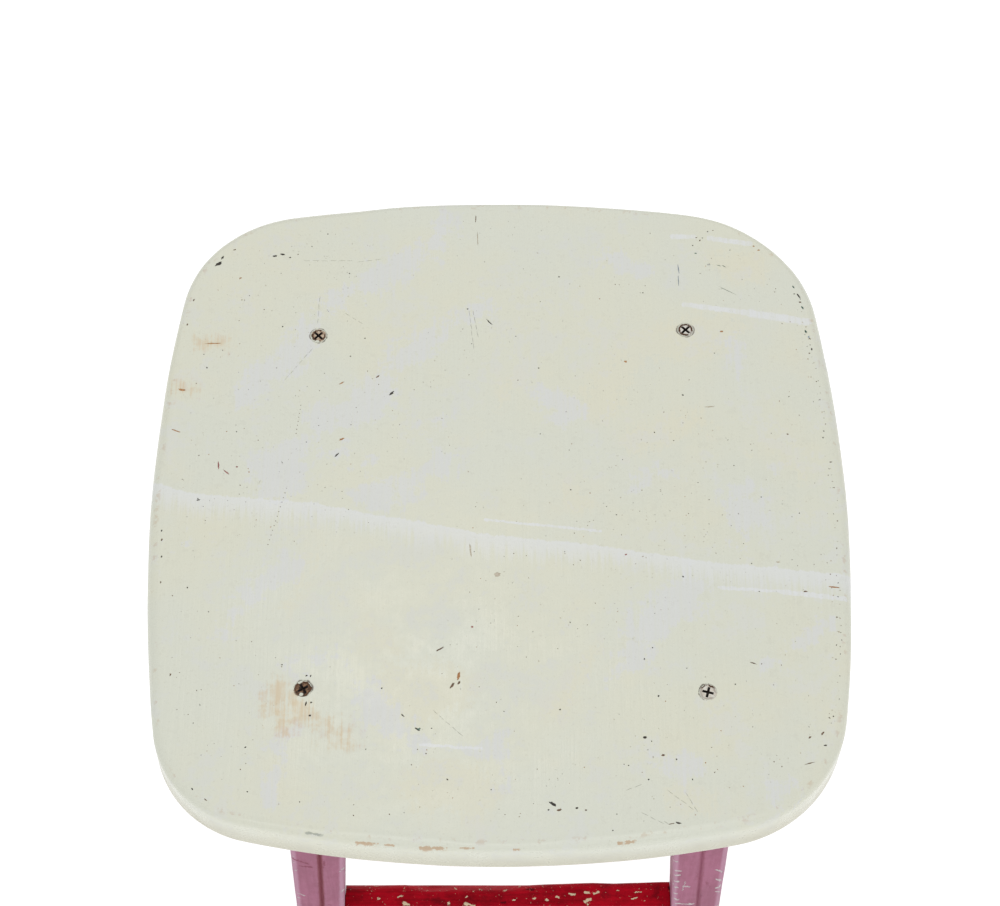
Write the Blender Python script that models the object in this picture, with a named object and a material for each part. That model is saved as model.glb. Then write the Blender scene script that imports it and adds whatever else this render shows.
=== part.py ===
"""A low wooden milking stool with four splayed legs.

A rounded-square seat board is screwed to the tops of four tapered legs. Aprons under the seat and
rails near the floor are tenoned into the legs. Units are metres, +Z is up and the front is -Y. The
origin is on the floor, under the middle of the seat.
"""

import math

import bmesh
import bpy
from mathutils import Vector

# The whole stool
STOOL_HEIGHT = 0.350
FIT_GAP = 0.0003  # between two pieces that touch

# The seat board
SEAT_WIDTH = 0.340  # left to right
SEAT_DEPTH = 0.362  # front to back
SEAT_THICKNESS = 0.024
SIDE_BOW = 0.0208  # how far the left and right sides bow out over the seat's depth
FRONT_BOW = 0.0264  # how far the front bows out over the seat's width
BACK_BOW = 0.0210
CORNER_RADII = {"back_right": 0.0740, "back_left": 0.0640, "front_left": 0.0545, "front_right": 0.0660}
TOP_EDGE_RADIUS = 0.0035
BOTTOM_EDGE_RADIUS = 0.0030
SIDE_STEPS = 10  # segments in one half of a side's arc
CORNER_STEPS = 12  # segments in a corner's arc
EDGE_STEPS = 4  # segments in a rounded edge

# The legs, centred in pairs about the frame's middle
FRAME_SHIFT = Vector((0.0055, -0.0019, 0.0))  # the frame was fixed a little off the seat's middle
LEG_SPACING_X = 0.1886  # between leg centres, at the leg tops
LEG_SPACING_Y = 0.2006
LEG_TOP_WIDTH = 0.0325
LEG_TAPER = 0.0312  # width lost per metre of height
SPLAY = math.tan(math.radians(2.0))  # outward lean, the same to the side and to the front
ARRIS_CHAMFER = 0.0014
FOOT_CHAMFER = 0.0015
GROOVE_WIDTH = 0.0026
GROOVE_DEPTH = 0.0011
GROOVE_OFFSET = 0.0010  # to the right of the face's middle, seen from outside

# The aprons under the seat
APRON_HEIGHT = 0.050
APRON_THICKNESS = 0.018
APRON_EDGE_RADIUS = 0.0012
APRON_TENON_HEIGHT = 0.018
APRON_TENON_THICKNESS = 0.008
APRON_TENON_LENGTH = 0.0105  # short, because two tenons share a leg at one height
APRON_TENON_DROP = 0.0365  # from the apron's top edge to the tenon's middle, clear of the screw

# The rails near the floor. The side rails sit higher, so that long tenons miss each other.
RAIL_HEIGHT = 0.030
RAIL_THICKNESS = 0.020
RAIL_EDGE_RADIUS = 0.0065
FRONT_RAIL_TOP = 0.1040
SIDE_RAIL_TOP = 0.1365
RAIL_TENON_HEIGHT = 0.020
RAIL_TENON_THICKNESS = 0.008
RAIL_TENON_LENGTH = 0.017
MORTISE_OVERRUN = 0.004  # how far a mortise's cutter stands out of the leg

# The wood screws, number 8
SCREW_LENGTH = 0.045
SCREW_HEAD_RADIUS = 0.00415
SCREW_HEAD_DEPTH = 0.0025
SCREW_RIM = 0.0003  # the head's straight rim, above its cone
SHANK_RADIUS = 0.0021
THREAD_ROOT_RADIUS = 0.0015
THREAD_TIP_RADIUS = 0.0002
THREAD_START = 0.021  # below the head's top
THREAD_PITCH = 0.0025
THREAD_VALLEY = 0.4  # of a pitch, from one crest down to the next valley
TIP_SHOULDER = 0.8  # of the root radius, where the screw's tip begins
SCREW_SINK = 0.0002  # the head's top, below the seat's top
CUT_ABOVE = 0.001  # how far a cutter starts above the surface that it cuts
ROUND_STEPS = 24
RECESS_DEPTH = 0.0018
RECESS_ARM = 0.0023  # half the length of the cross at the top
RECESS_ARM_BOTTOM = 0.0011
RECESS_HALF_WIDTH = 0.00048
RECESS_HALF_WIDTH_BOTTOM = 0.00032

# Where each screw was driven, from its leg's middle, and how its cross is turned
SCREWS = {
    "front_left": (Vector((-0.0028, 0.0010, 0.0)), 30.0),
    "front_right": (Vector((-0.0028, -0.0008, 0.0)), 18.0),
    "back_left": (Vector((-0.0027, -0.0021, 0.0)), 45.0),
    "back_right": (Vector((-0.0050, 0.0017, 0.0)), 45.0),
}

# Worked out from the above
SEAT_UNDERSIDE = STOOL_HEIGHT - SEAT_THICKNESS
LEG_TOP = SEAT_UNDERSIDE - FIT_GAP
SCREW_TOP = STOOL_HEIGHT - SCREW_SINK


def clear_scene():
    for old in list(bpy.data.objects):
        bpy.data.objects.remove(old, do_unlink=True)


def make_material(name, colour, roughness, metallic=0.0):
    material = bpy.data.materials.new(name)
    material.use_nodes = True
    shader = material.node_tree.nodes["Principled BSDF"]
    shader.inputs["Base Color"].default_value = (*colour, 1.0)
    shader.inputs["Roughness"].default_value = roughness
    shader.inputs["Metallic"].default_value = metallic
    return material


def make_empty(name, parent=None, location=(0.0, 0.0, 0.0)):
    empty = bpy.data.objects.new(name, None)
    empty.parent = parent
    empty.location = location
    bpy.context.scene.collection.objects.link(empty)
    return empty


def make_object(name, mesh, parent, location=(0.0, 0.0, 0.0), turn=0.0):
    piece = bpy.data.objects.new(name, mesh)
    piece.parent = parent
    piece.location = location
    piece.rotation_euler = (0.0, 0.0, turn)
    bpy.context.scene.collection.objects.link(piece)
    return piece


def make_helper(name, mesh, parent, location=(0.0, 0.0, 0.0), turn=0.0):
    """A shape that only cuts or joins: it isn't a piece of the stool."""
    helper = make_object(name, mesh, parent, location, turn)
    helper.hide_render = True
    helper.display_type = "WIRE"
    return helper


def add_boolean(piece, helper, operation):
    boolean = piece.modifiers.new(f"{operation.lower()}_{helper.name}", "BOOLEAN")
    boolean.operation = operation
    boolean.solver = "EXACT"
    boolean.object = helper


def finish_mesh(shape, name, material=None, sharp_degrees=30.0):
    """A mesh from a bmesh, with its normals pointing out and its round stretches shaded smooth."""
    bmesh.ops.recalc_face_normals(shape, faces=shape.faces)
    mesh = bpy.data.meshes.new(name)
    shape.to_mesh(mesh)
    shape.free()
    mesh.shade_smooth()
    mesh.set_sharp_from_angle(angle=math.radians(sharp_degrees))
    if material:
        mesh.materials.append(material)
    return mesh


def loft(shape, rings):
    """Joins rings of the same number of points into a closed tube with flat ends."""
    loops = [[shape.verts.new(point) for point in ring] for ring in rings]
    for lower, upper in zip(loops, loops[1:]):
        count = len(lower)
        for i in range(count):
            following = (i + 1) % count
            shape.faces.new((lower[i], lower[following], upper[following], upper[i]))
    shape.faces.new(loops[0][::-1])
    shape.faces.new(loops[-1])


def make_box(name, low, high):
    shape = bmesh.new()
    add_box(shape, low, high)
    return finish_mesh(shape, name)


def add_box(shape, low, high):
    corners = ((low[0], low[1]), (high[0], low[1]), (high[0], high[1]), (low[0], high[1]))
    loft(shape, [[(x, y, z) for x, y in corners] for z in (low[2], high[2])])


def turned(name, profile, material=None):
    """A solid turned about Z from (radius, height) points, the first and last closed by a disc."""
    shape = bmesh.new()
    angles = [2.0 * math.pi * i / ROUND_STEPS for i in range(ROUND_STEPS)]
    rings = [[(r * math.cos(a), r * math.sin(a), z) for a in angles] for r, z in profile]
    loft(shape, rings)
    return finish_mesh(shape, name, material)


def arc(centre, radius, start, end, steps):
    """Points along an arc, without its last one."""
    turns = [start + (end - start) * i / steps for i in range(steps)]
    return [centre + radius * Vector((math.cos(turn), math.sin(turn))) for turn in turns]


def bow_radius(half_length, bow):
    return (half_length**2 + bow**2) / (2.0 * bow)


def corner_centre(side_centre, side_reach, end_centre, end_reach):
    """Where circles about the two side arcs' centres cross, in the right back quarter."""
    between = end_centre - side_centre
    distance = between.length
    along = between / distance
    across = Vector((-along.y, along.x))
    run = (side_reach**2 - end_reach**2 + distance**2) / (2.0 * distance)
    rise = math.sqrt(side_reach**2 - run**2)
    return side_centre + along * run + across * rise


def quarter_outline(corner_radius, end_bow, inset):
    """A quarter of the seat's outline, as three tangent arcs moved in by inset.

    It runs anticlockwise from the middle of the right side to the middle of the back end.
    """
    side_radius = bow_radius(SEAT_DEPTH / 2.0, SIDE_BOW)
    end_radius = bow_radius(SEAT_WIDTH / 2.0, end_bow)
    side_centre = Vector((SEAT_WIDTH / 2.0 - side_radius, 0.0))
    end_centre = Vector((0.0, SEAT_DEPTH / 2.0 - end_radius))
    corner = corner_centre(
        side_centre,
        side_radius - corner_radius,
        end_centre,
        end_radius - corner_radius,
    )
    from_side = corner - side_centre
    from_end = corner - end_centre
    side_end = math.atan2(from_side.y, from_side.x)
    end_start = math.atan2(from_end.y, from_end.x)
    return (
        arc(side_centre, side_radius - inset, 0.0, side_end, SIDE_STEPS)
        + arc(corner, corner_radius - inset, side_end, end_start, CORNER_STEPS)
        + arc(end_centre, end_radius - inset, end_start, math.pi / 2.0, SIDE_STEPS)
        + [Vector((0.0, SEAT_DEPTH / 2.0 - inset))]
    )


def seat_outline(inset):
    """The whole outline, anticlockwise from the middle of the right side."""
    points = []
    for corner, side_x, side_y, end_bow in (
        ("back_right", 1.0, 1.0, BACK_BOW),
        ("back_left", -1.0, 1.0, BACK_BOW),
        ("front_left", -1.0, -1.0, FRONT_BOW),
        ("front_right", 1.0, -1.0, FRONT_BOW),
    ):
        quarter = quarter_outline(CORNER_RADII[corner], end_bow, inset)
        placed = [Vector((side_x * p.x, side_y * p.y)) for p in quarter]
        if side_x * side_y < 0.0:
            placed.reverse()
        points += placed[:-1]
    return points


def seat_edge():
    """(inset, height) steps up the seat's edge, from its underside to its top."""
    quarter_turns = [0.5 * math.pi * i / EDGE_STEPS for i in range(EDGE_STEPS + 1)]
    bottom = [
        (
            BOTTOM_EDGE_RADIUS * (1.0 - math.sin(turn)),
            BOTTOM_EDGE_RADIUS * (1.0 - math.cos(turn)),
        )
        for turn in quarter_turns
    ]
    top = [
        (
            TOP_EDGE_RADIUS * (1.0 - math.cos(turn)),
            SEAT_THICKNESS - TOP_EDGE_RADIUS * (1.0 - math.sin(turn)),
        )
        for turn in quarter_turns
    ]
    return bottom + top


def leg_centre(side_x, side_y, depth=0.0):
    """A leg's middle in the leg frame, this far below the leg's top."""
    lean = SPLAY * depth
    return Vector(
        (side_x * (LEG_SPACING_X / 2.0 + lean), side_y * (LEG_SPACING_Y / 2.0 + lean), 0.0)
    )


def leg_width(depth):
    return LEG_TOP_WIDTH - LEG_TAPER * depth


def screw_place(leg):
    """A screw's place on the seat, over its leg."""
    side_x = 1.0 if leg.endswith("right") else -1.0
    side_y = 1.0 if leg.startswith("back") else -1.0
    return FRAME_SHIFT + leg_centre(side_x, side_y) + SCREWS[leg][0]


def screw_hole_profile(gap):
    """(radius, height) down the countersunk hole, from above the seat to below the screw's tip."""
    head_rim = -SCREW_RIM
    head_end = -SCREW_HEAD_DEPTH
    hole_radius = SHANK_RADIUS + gap
    return [
        (SCREW_HEAD_RADIUS + gap, CUT_ABOVE),
        (SCREW_HEAD_RADIUS + gap, head_rim),
        (hole_radius, head_end),
        (hole_radius, -SCREW_LENGTH - gap),
    ]


def make_seat(parent, material):
    shape = bmesh.new()
    loft(shape, [[(p.x, p.y, z) for p in seat_outline(inset)] for inset, z in seat_edge()])
    mesh = finish_mesh(shape, "seat", material)
    seat = make_object("seat", mesh, parent, (0.0, 0.0, SEAT_UNDERSIDE))
    hole = turned("seat_screw_hole", screw_hole_profile(FIT_GAP))
    for leg in SCREWS:
        place = screw_place(leg) + Vector((0.0, 0.0, SCREW_TOP))
        add_boolean(seat, make_helper(f"seat_hole_{leg}", hole, parent, place), "DIFFERENCE")
    return seat


def leg_section(width):
    """A leg's section, its grooved outer face towards -Y, anticlockwise from above."""
    half = width / 2.0
    flat = half - ARRIS_CHAMFER
    groove_half = GROOVE_WIDTH / 2.0
    return [
        (-flat, -half),
        (GROOVE_OFFSET - groove_half, -half),
        (GROOVE_OFFSET, -half + GROOVE_DEPTH),
        (GROOVE_OFFSET + groove_half, -half),
        (flat, -half),
        (half, -flat),
        (half, flat),
        (flat, half),
        (-flat, half),
        (-half, flat),
        (-half, -flat),
    ]


def leg_mesh(side_x, material):
    """A front leg with the middle of its top at the origin, leaning to side_x and to -Y."""
    foot = LEG_TOP
    levels = [
        (foot, leg_width(foot) - 2.0 * FOOT_CHAMFER),
        (foot - FOOT_CHAMFER, leg_width(foot - FOOT_CHAMFER)),
        (0.0, leg_width(0.0)),
    ]
    rings = []
    for depth, width in levels:
        lean = SPLAY * depth
        section = leg_section(width)
        rings.append([(x + side_x * lean, y - lean, -depth) for x, y in section])
    shape = bmesh.new()
    loft(shape, rings)
    return finish_mesh(shape, f"leg_{side_x:+.0f}", material)


def mortise_mesh(side_x):
    """The four mortises of a front leg: an apron and a rail from the side and from behind."""
    apron = (APRON_TENON_LENGTH, APRON_TENON_THICKNESS, APRON_TENON_HEIGHT)
    rail = (RAIL_TENON_LENGTH, RAIL_TENON_THICKNESS, RAIL_TENON_HEIGHT)
    apron_middle = APRON_HEIGHT / 2.0
    front_rail_middle = LEG_TOP - FRONT_RAIL_TOP + RAIL_HEIGHT / 2.0
    side_rail_middle = LEG_TOP - SIDE_RAIL_TOP + RAIL_HEIGHT / 2.0
    boards = [
        ("x", apron_middle, APRON_TENON_DROP, apron),
        ("y", apron_middle, APRON_TENON_DROP, apron),
        ("x", front_rail_middle, front_rail_middle, rail),
        ("y", side_rail_middle, side_rail_middle, rail),
    ]
    shape = bmesh.new()
    for direction, board_depth, tenon_depth, (length, thickness, height) in boards:
        board_lean = SPLAY * board_depth
        tenon_lean = SPLAY * tenon_depth
        inner = leg_width(tenon_depth) / 2.0
        end = inner - length - FIT_GAP  # from the leg's middle
        mouth = inner + MORTISE_OVERRUN
        half_thickness = thickness / 2.0 + FIT_GAP
        half_height = height / 2.0 + FIT_GAP
        bottom = -tenon_depth - half_height
        top = -tenon_depth + half_height
        if direction == "x":
            ends = sorted(side_x * (tenon_lean - reach) for reach in (end, mouth))
            low = (ends[0], -board_lean - half_thickness, bottom)
            high = (ends[1], -board_lean + half_thickness, top)
        else:
            low = (side_x * board_lean - half_thickness, end - tenon_lean, bottom)
            high = (side_x * board_lean + half_thickness, mouth - tenon_lean, top)
        add_box(shape, low, high)
    return finish_mesh(shape, f"mortises_{side_x:+.0f}")


def make_legs(frame, material):
    pilot = turned("leg_pilot_hole", screw_hole_profile(FIT_GAP))
    for side_x in (1.0, -1.0):
        leg_shape = leg_mesh(side_x, material)
        mortises = mortise_mesh(side_x)
        for side_y, turn in ((-1.0, 0.0), (1.0, math.pi)):
            # A front leg turned half round stands at the opposite corner.
            on_right = side_x * -side_y > 0.0
            leg = f"{'front' if side_y < 0.0 else 'back'}_{'right' if on_right else 'left'}"
            top = leg_centre(1.0 if on_right else -1.0, side_y) + Vector((0.0, 0.0, LEG_TOP))
            piece = make_object(f"leg_{leg}", leg_shape, frame, top, turn)
            cutter = make_helper(f"mortises_{leg}", mortises, frame, top, turn)
            add_boolean(piece, cutter, "DIFFERENCE")
            place = screw_place(leg) - FRAME_SHIFT + Vector((0.0, 0.0, SCREW_TOP))
            hole = make_helper(f"pilot_hole_{leg}", pilot, frame, place)
            add_boolean(piece, hole, "DIFFERENCE")


def rounded_section(thickness, height, radius, steps=4):
    """(across, up) points round a rectangle with rounded corners, about its middle."""
    points = []
    for corner, (side, level) in enumerate(((1, 1), (-1, 1), (-1, -1), (1, -1))):
        across = side * (thickness / 2.0 - radius)
        up = level * (height / 2.0 - radius)
        for i in range(steps + 1):
            turn = 0.5 * math.pi * (corner + i / steps)
            points.append((across + radius * math.cos(turn), up + radius * math.sin(turn)))
    return points


def rail_mesh(name, spacing, top_depth, size, material):
    """A rail along X between two legs, about its own middle, its shoulders cut to the legs' lean.

    spacing is between the leg tops' middles, top_depth is from the leg tops to the rail's top edge,
    and size is its (thickness, height, edge radius).
    """
    thickness, height, radius = size
    middle_depth = top_depth + height / 2.0
    shape = bmesh.new()
    rings = []
    for side in (-1.0, 1.0):
        ring = []
        for across, up in rounded_section(thickness, height, radius):
            depth = middle_depth - up
            shoulder = spacing / 2.0 + SPLAY * depth - leg_width(depth) / 2.0 - FIT_GAP
            ring.append((side * shoulder, across, up))
        rings.append(ring)
    loft(shape, rings)
    return finish_mesh(shape, name, material)


def tenon_mesh(name, spacing, top_depth, height, tenon):
    """A bar through the rail whose ends stand out as its tenons, about the rail's middle.

    tenon is the (length, thickness, height, drop) of each, and drop is from the rail's top edge.
    """
    length, thickness, tenon_height, drop = tenon
    depth = top_depth + drop
    up = height / 2.0 - drop
    reach = spacing / 2.0 + SPLAY * depth - leg_width(depth) / 2.0 + length
    return make_box(
        name,
        (-reach, -thickness / 2.0, up - tenon_height / 2.0),
        (reach, thickness / 2.0, up + tenon_height / 2.0),
    )


def make_rail_pair(kind, names, along_x, top, size, tenon, frame, material):
    """Two opposite rails. names are (the one at -Y or -X, the one at +Y or +X)."""
    spacing, other_spacing = LEG_SPACING_X, LEG_SPACING_Y
    if not along_x:
        spacing, other_spacing = other_spacing, spacing
    height = size[1]
    top_depth = LEG_TOP - top
    label = f"{kind}_{'x' if along_x else 'y'}"
    body = rail_mesh(label, spacing, top_depth, size, material)
    tenons = tenon_mesh(f"{label}_tenons", spacing, top_depth, height, tenon)
    offset = other_spacing / 2.0 + SPLAY * (top_depth + height / 2.0)
    for name, side in zip(names, (-1.0, 1.0)):
        place = Vector((0.0, side * offset, top - height / 2.0))
        turn = 0.0 if side < 0.0 else math.pi
        if not along_x:
            place = Vector((side * offset, 0.0, top - height / 2.0))
            turn -= math.pi / 2.0
        rail = make_object(f"{kind}_{name}", body, frame, place, turn)
        bar = make_helper(f"{kind}_{name}_tenons", tenons, frame, place, turn)
        add_boolean(rail, bar, "UNION")


def make_aprons(frame, material):
    size = (APRON_THICKNESS, APRON_HEIGHT, APRON_EDGE_RADIUS)
    tenon = (APRON_TENON_LENGTH, APRON_TENON_THICKNESS, APRON_TENON_HEIGHT, APRON_TENON_DROP)
    for names, along_x in ((("front", "back"), True), (("left", "right"), False)):
        make_rail_pair("apron", names, along_x, LEG_TOP, size, tenon, frame, material)


def make_rails(frame, material):
    size = (RAIL_THICKNESS, RAIL_HEIGHT, RAIL_EDGE_RADIUS)
    drop = RAIL_HEIGHT / 2.0
    tenon = (RAIL_TENON_LENGTH, RAIL_TENON_THICKNESS, RAIL_TENON_HEIGHT, drop)
    for names, along_x, top in (
        (("front", "back"), True, FRONT_RAIL_TOP),
        (("left", "right"), False, SIDE_RAIL_TOP),
    ):
        make_rail_pair("rail", names, along_x, top, size, tenon, frame, material)


def screw_profile():
    """(radius, height) down the screw from its flat top, with the thread as plain ridges."""
    profile = [
        (SCREW_HEAD_RADIUS, 0.0),
        (SCREW_HEAD_RADIUS, -SCREW_RIM),
        (SHANK_RADIUS, -SCREW_HEAD_DEPTH),
        (SHANK_RADIUS, -THREAD_START),
    ]
    turns = int((SCREW_LENGTH - THREAD_START) / THREAD_PITCH)
    for i in range(turns - 1):
        valley = THREAD_START + (i + THREAD_VALLEY) * THREAD_PITCH
        crest = THREAD_START + (i + 1.0) * THREAD_PITCH
        profile.append((THREAD_ROOT_RADIUS, -valley))
        profile.append((SHANK_RADIUS, -crest))
    profile.append((THREAD_ROOT_RADIUS * TIP_SHOULDER, -crest - THREAD_VALLEY * THREAD_PITCH))
    profile.append((THREAD_TIP_RADIUS, -SCREW_LENGTH))
    return profile


def cross_section(arm, half_width):
    """A plus sign of twelve points, anticlockwise."""
    corner = [(arm, -half_width), (arm, half_width), (half_width, half_width)]
    points = []
    for quarter in range(4):
        turn = 0.5 * math.pi * quarter
        cosine, sine = round(math.cos(turn)), round(math.sin(turn))
        points += [(cosine * x - sine * y, sine * x + cosine * y) for x, y in corner]
    return points


def recess_mesh():
    """The tapered cross that a screwdriver fits."""
    slope_arm = (RECESS_ARM - RECESS_ARM_BOTTOM) / RECESS_DEPTH
    slope_width = (RECESS_HALF_WIDTH - RECESS_HALF_WIDTH_BOTTOM) / RECESS_DEPTH
    shape = bmesh.new()
    rings = []
    for height in (-RECESS_DEPTH, CUT_ABOVE):
        arm = RECESS_ARM + slope_arm * height
        half_width = RECESS_HALF_WIDTH + slope_width * height
        rings.append([(x, y, height) for x, y in cross_section(arm, half_width)])
    loft(shape, rings)
    return finish_mesh(shape, "cross_recess")


def make_screws(parent, material):
    body = turned("screw", screw_profile(), material)
    recess = recess_mesh()
    for leg, (_, degrees) in SCREWS.items():
        place = screw_place(leg) + Vector((0.0, 0.0, SCREW_TOP))
        turn = math.radians(degrees)
        screw = make_object(f"screw_{leg}", body, parent, place, turn)
        cross = make_helper(f"recess_{leg}", recess, parent, place, turn)
        add_boolean(screw, cross, "DIFFERENCE")


def main():
    clear_scene()
    seat_paint = make_material("cream_paint", (0.665, 0.665, 0.565), 0.38)
    leg_paint = make_material("mauve_paint", (0.350, 0.150, 0.215), 0.55)
    rail_paint = make_material("red_paint", (0.330, 0.004, 0.012), 0.45)
    screw_steel = make_material("rusty_steel", (0.330, 0.290, 0.220), 0.60, 0.6)
    stool = make_empty("stool")
    frame = make_empty("leg_frame", stool, FRAME_SHIFT)
    make_seat(stool, seat_paint)
    make_legs(frame, leg_paint)
    make_aprons(frame, leg_paint)
    make_rails(frame, rail_paint)
    make_screws(stool, screw_steel)


main()
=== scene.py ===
"""The looks of a painted wooden milking stool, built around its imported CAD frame.

The seat board, legs, aprons, rails and screws are rebuilt as fine meshes in the places of the CAD
nodes: the board with its rounded edges, countersunk holes and paint chips, the timber with worn
arrises, and the screws with their threads and cross recesses. Units are metres, +Z is up and the
front is -Y.
"""

import math
from itertools import product

import bmesh
import bpy
import numpy as np
from mathutils import Matrix, Vector
from mathutils.geometry import delaunay_2d_cdt
from mathutils.kdtree import KDTree


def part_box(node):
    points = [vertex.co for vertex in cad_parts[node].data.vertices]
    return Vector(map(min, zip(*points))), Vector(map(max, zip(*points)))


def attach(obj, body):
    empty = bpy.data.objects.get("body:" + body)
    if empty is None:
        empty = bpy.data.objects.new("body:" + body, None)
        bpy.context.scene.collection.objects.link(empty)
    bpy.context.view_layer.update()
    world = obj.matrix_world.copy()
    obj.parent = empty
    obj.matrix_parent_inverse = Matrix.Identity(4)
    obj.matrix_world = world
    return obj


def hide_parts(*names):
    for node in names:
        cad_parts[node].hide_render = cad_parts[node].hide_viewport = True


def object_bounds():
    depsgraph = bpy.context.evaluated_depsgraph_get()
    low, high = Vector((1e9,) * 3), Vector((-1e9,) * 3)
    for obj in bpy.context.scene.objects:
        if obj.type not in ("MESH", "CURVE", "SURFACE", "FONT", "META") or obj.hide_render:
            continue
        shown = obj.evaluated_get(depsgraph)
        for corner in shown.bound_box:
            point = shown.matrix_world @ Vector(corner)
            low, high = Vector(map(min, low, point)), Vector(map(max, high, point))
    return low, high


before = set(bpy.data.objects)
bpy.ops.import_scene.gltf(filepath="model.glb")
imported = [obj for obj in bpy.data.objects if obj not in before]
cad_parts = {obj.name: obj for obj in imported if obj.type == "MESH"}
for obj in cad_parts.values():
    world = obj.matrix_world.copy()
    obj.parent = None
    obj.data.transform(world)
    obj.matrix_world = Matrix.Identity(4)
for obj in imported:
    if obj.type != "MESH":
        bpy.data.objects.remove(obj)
cad_low, cad_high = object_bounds()

BODY = "root"
MM = 0.001
TOP = cad_high.z  # the top of the seat

# The camera, over the front of the stool, as fitted to the photo
CAMERA_LENS = 88.63
CAMERA_SENSOR = 36.0
CAMERA_PLACE = Vector((-0.00565, -0.59855, TOP + 1.03908))
CAMERA_TILT = math.radians(31.043)  # from straight down
CAMERA_TURN = math.radians(-0.553)
CAMERA_ROLL = math.radians(0.512)

# The lights: name, place, size, power and colour
LIGHTS = (
    ("window", (-0.10, 0.76, 2.15), (0.10, 0.10), 1.5, (1.0, 0.93, 0.80)),
    ("overhead_softbox", (0.0, -1.0, 2.9), (1.6, 1.4), 15.0),
    ("front_softbox", (0.4, -2.4, 2.0), (2.2, 1.4), 9.2),
    ("back_softbox", (0.0, 2.1, 2.3), (2.4, 1.2), 8.0),
)
SKY_COLOUR = (0.97, 0.98, 1.0, 1.0)
SKY_STRENGTH = 0.72

# The floor glows a little, so that it is as white as the photo's background
FLOOR_COLOUR = (0.35, 0.35, 0.35)
FLOOR_GLOW = 0.86
FLOOR_DROP = 0.0002  # below the feet

# The seat board
SIDE_LEVEL = 0.003  # height above the underside where the outline is at its widest
OUTLINE_STEPS = 3  # points made for each point of the CAD outline
TOP_RADIUS = 0.0035
TOP_RADIUS_WORN = 0.0055  # where the arris is worn most
BOTTOM_RADIUS = 0.0030
ROUND_STEPS = 8
SIDE_STEPS = 8
SEAT_SPACING = 0.0022  # between the points that carry the seat's unevenness
UNDERSIDE_SPACING = 0.010
SEAT_DIP = 0.0003  # the deepest of the top's unevenness
CHIP_DEPTH = 0.00018
CHIP_RIM = 0.00014  # the sloping edge of the broken paint
SEAT_RUB = 0.0003  # the most that the edge is rubbed in
LEAST_FLOOR = 0.80  # of a small chip, the part that is bare
EDGE_CLEAR = 0.0006  # the least between a mark and the top's border or a screw hole
HOLE_STEPS = 64
HOLE_GAP = 0.00010
HOLE_RAGGED = 0.00012
HOLE_COLLARS = (0.0006, 0.0012, 0.0020)  # rings of points round a hole, from its rim
MARKS_SEED = 5
SPECKS = 1100
SPECK_KINDS = ("brown", "tan", "dark", "faint", "rust")
SPECK_SHARES = (0.34, 0.26, 0.12, 0.16, 0.12)
RIM_SPECKS = 110  # more specks along the right-hand rim
RIM_SPECKS_FROM = 0.155  # the x where that rim starts

# The timber
FIRST_TIMBER_SEED = 20
SEEDS_PER_PIECE = 3
SLICE_LENGTH = 0.0024  # between the cuts across a leg or a board
SLICE_DEPTHS = (0.0006, 0.0013, 0.0024, 0.0042, 0.0070, 0.0110, 0.0165, 0.0235)  # from a long face
LONG_FACE = 0.25  # of the largest long face's area: the least that is sliced
ARRIS_ANGLE = {"leg": math.radians(42.0), "apron": math.radians(15.0), "rail": math.radians(15.0)}
GRAIN_STRETCH = 0.06  # how much the brush marks are drawn out along the timber
ARRIS_REACH = 0.0025  # how far from an arris the timber is rubbed down
JOINT_CLOSE = 0.0002  # how far a board reaches into the gap at its shoulder
TIMBER_WOBBLE = 0.00025
RAIL_ROUND = 0.0065  # the rails' rounded arrises, and the length of their tenons, as in the CAD
RAIL_TENON = 0.017
MARK_REACH = 0.020  # distances beyond this aren't told apart
SMOOTH_ANGLE = math.radians(35.0)
SHARP_ANGLE = math.radians(20.0)

# How far the back arris of the front rail is built up (+) or worn (-) along it: (x, out), in
# millimetres, from the photo's outline
RAIL_WEAR = (
    (-90, -0.6), (-78, -0.9), (-50, -0.3), (-37, -2.4), (-24, -1.4), (7, -1.4), (27, 0.3),
    (52, 1.3), (64, 0.9), (90, 1.9),
)

# The screws, as in the CAD
SCREW_STEPS = 64
# Each screw's turn in degrees, the dark and light of its head's colour, how rusty its rim is, how
# rusty the back of that rim is, and how far the seat's paint laps over its edge
SCREWS = {
    "front_left": (30.0, (0.018, 0.009, 0.005), (0.230, 0.130, 0.074), 0.8, 0.0, 0.0001),
    "front_right": (-15.0, (0.560, 0.510, 0.430), (0.660, 0.640, 0.570), 0.35, 1.0, 0.0001),
    "back_left": (45.0, (0.330, 0.220, 0.140), (0.580, 0.480, 0.360), 1.0, 0.0, 0.0005),
    "back_right": (45.0, (0.560, 0.530, 0.470), (0.660, 0.640, 0.580), 1.0, 0.0, 0.0004),
}
# Dabs of cream paint on the heads: (x, y) of each end and half width, in millimetres
SCREW_DABS = (
    (-92.2, 92.6, -92.0, 92.6, 1.2), (-92.5, -104.1, -92.3, -104.1, 1.0), (-93.4, -97.6, -92.8, -97.2, 1.2),
)
SCREW_REACH = 0.0044  # from a screw's middle to its hole's rim
SHANK_RADIUS = 0.0021
HEAD_DEPTH = 0.0025
RIM_HEIGHT = 0.0003
THREAD_ROOT = 0.0015
THREAD_PITCH = 0.0025
THREAD_START = 0.021
CONE_START = 0.0008  # the first ring on the head's cone, below the head's top
CONE_STEPS = 5
SHANK_DEPTHS = (0.006, 0.012, 0.018)
THREAD_STEPS = 8  # rings for each turn of the thread
HEAD_BEVEL = 0.00012
RECESS_DEPTH = 0.0018
RECESS_TOP_ARM = 0.0031
RECESS_CLEAR = 0.00001  # the faces this far below the head's top are the recess's
# The recess's cutter, at its bottom and above the head: (height, arm, half width)
RECESS_RINGS = ((-RECESS_DEPTH, 0.0012, 0.00038), (0.0005, RECESS_TOP_ARM, 0.00068))

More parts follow.
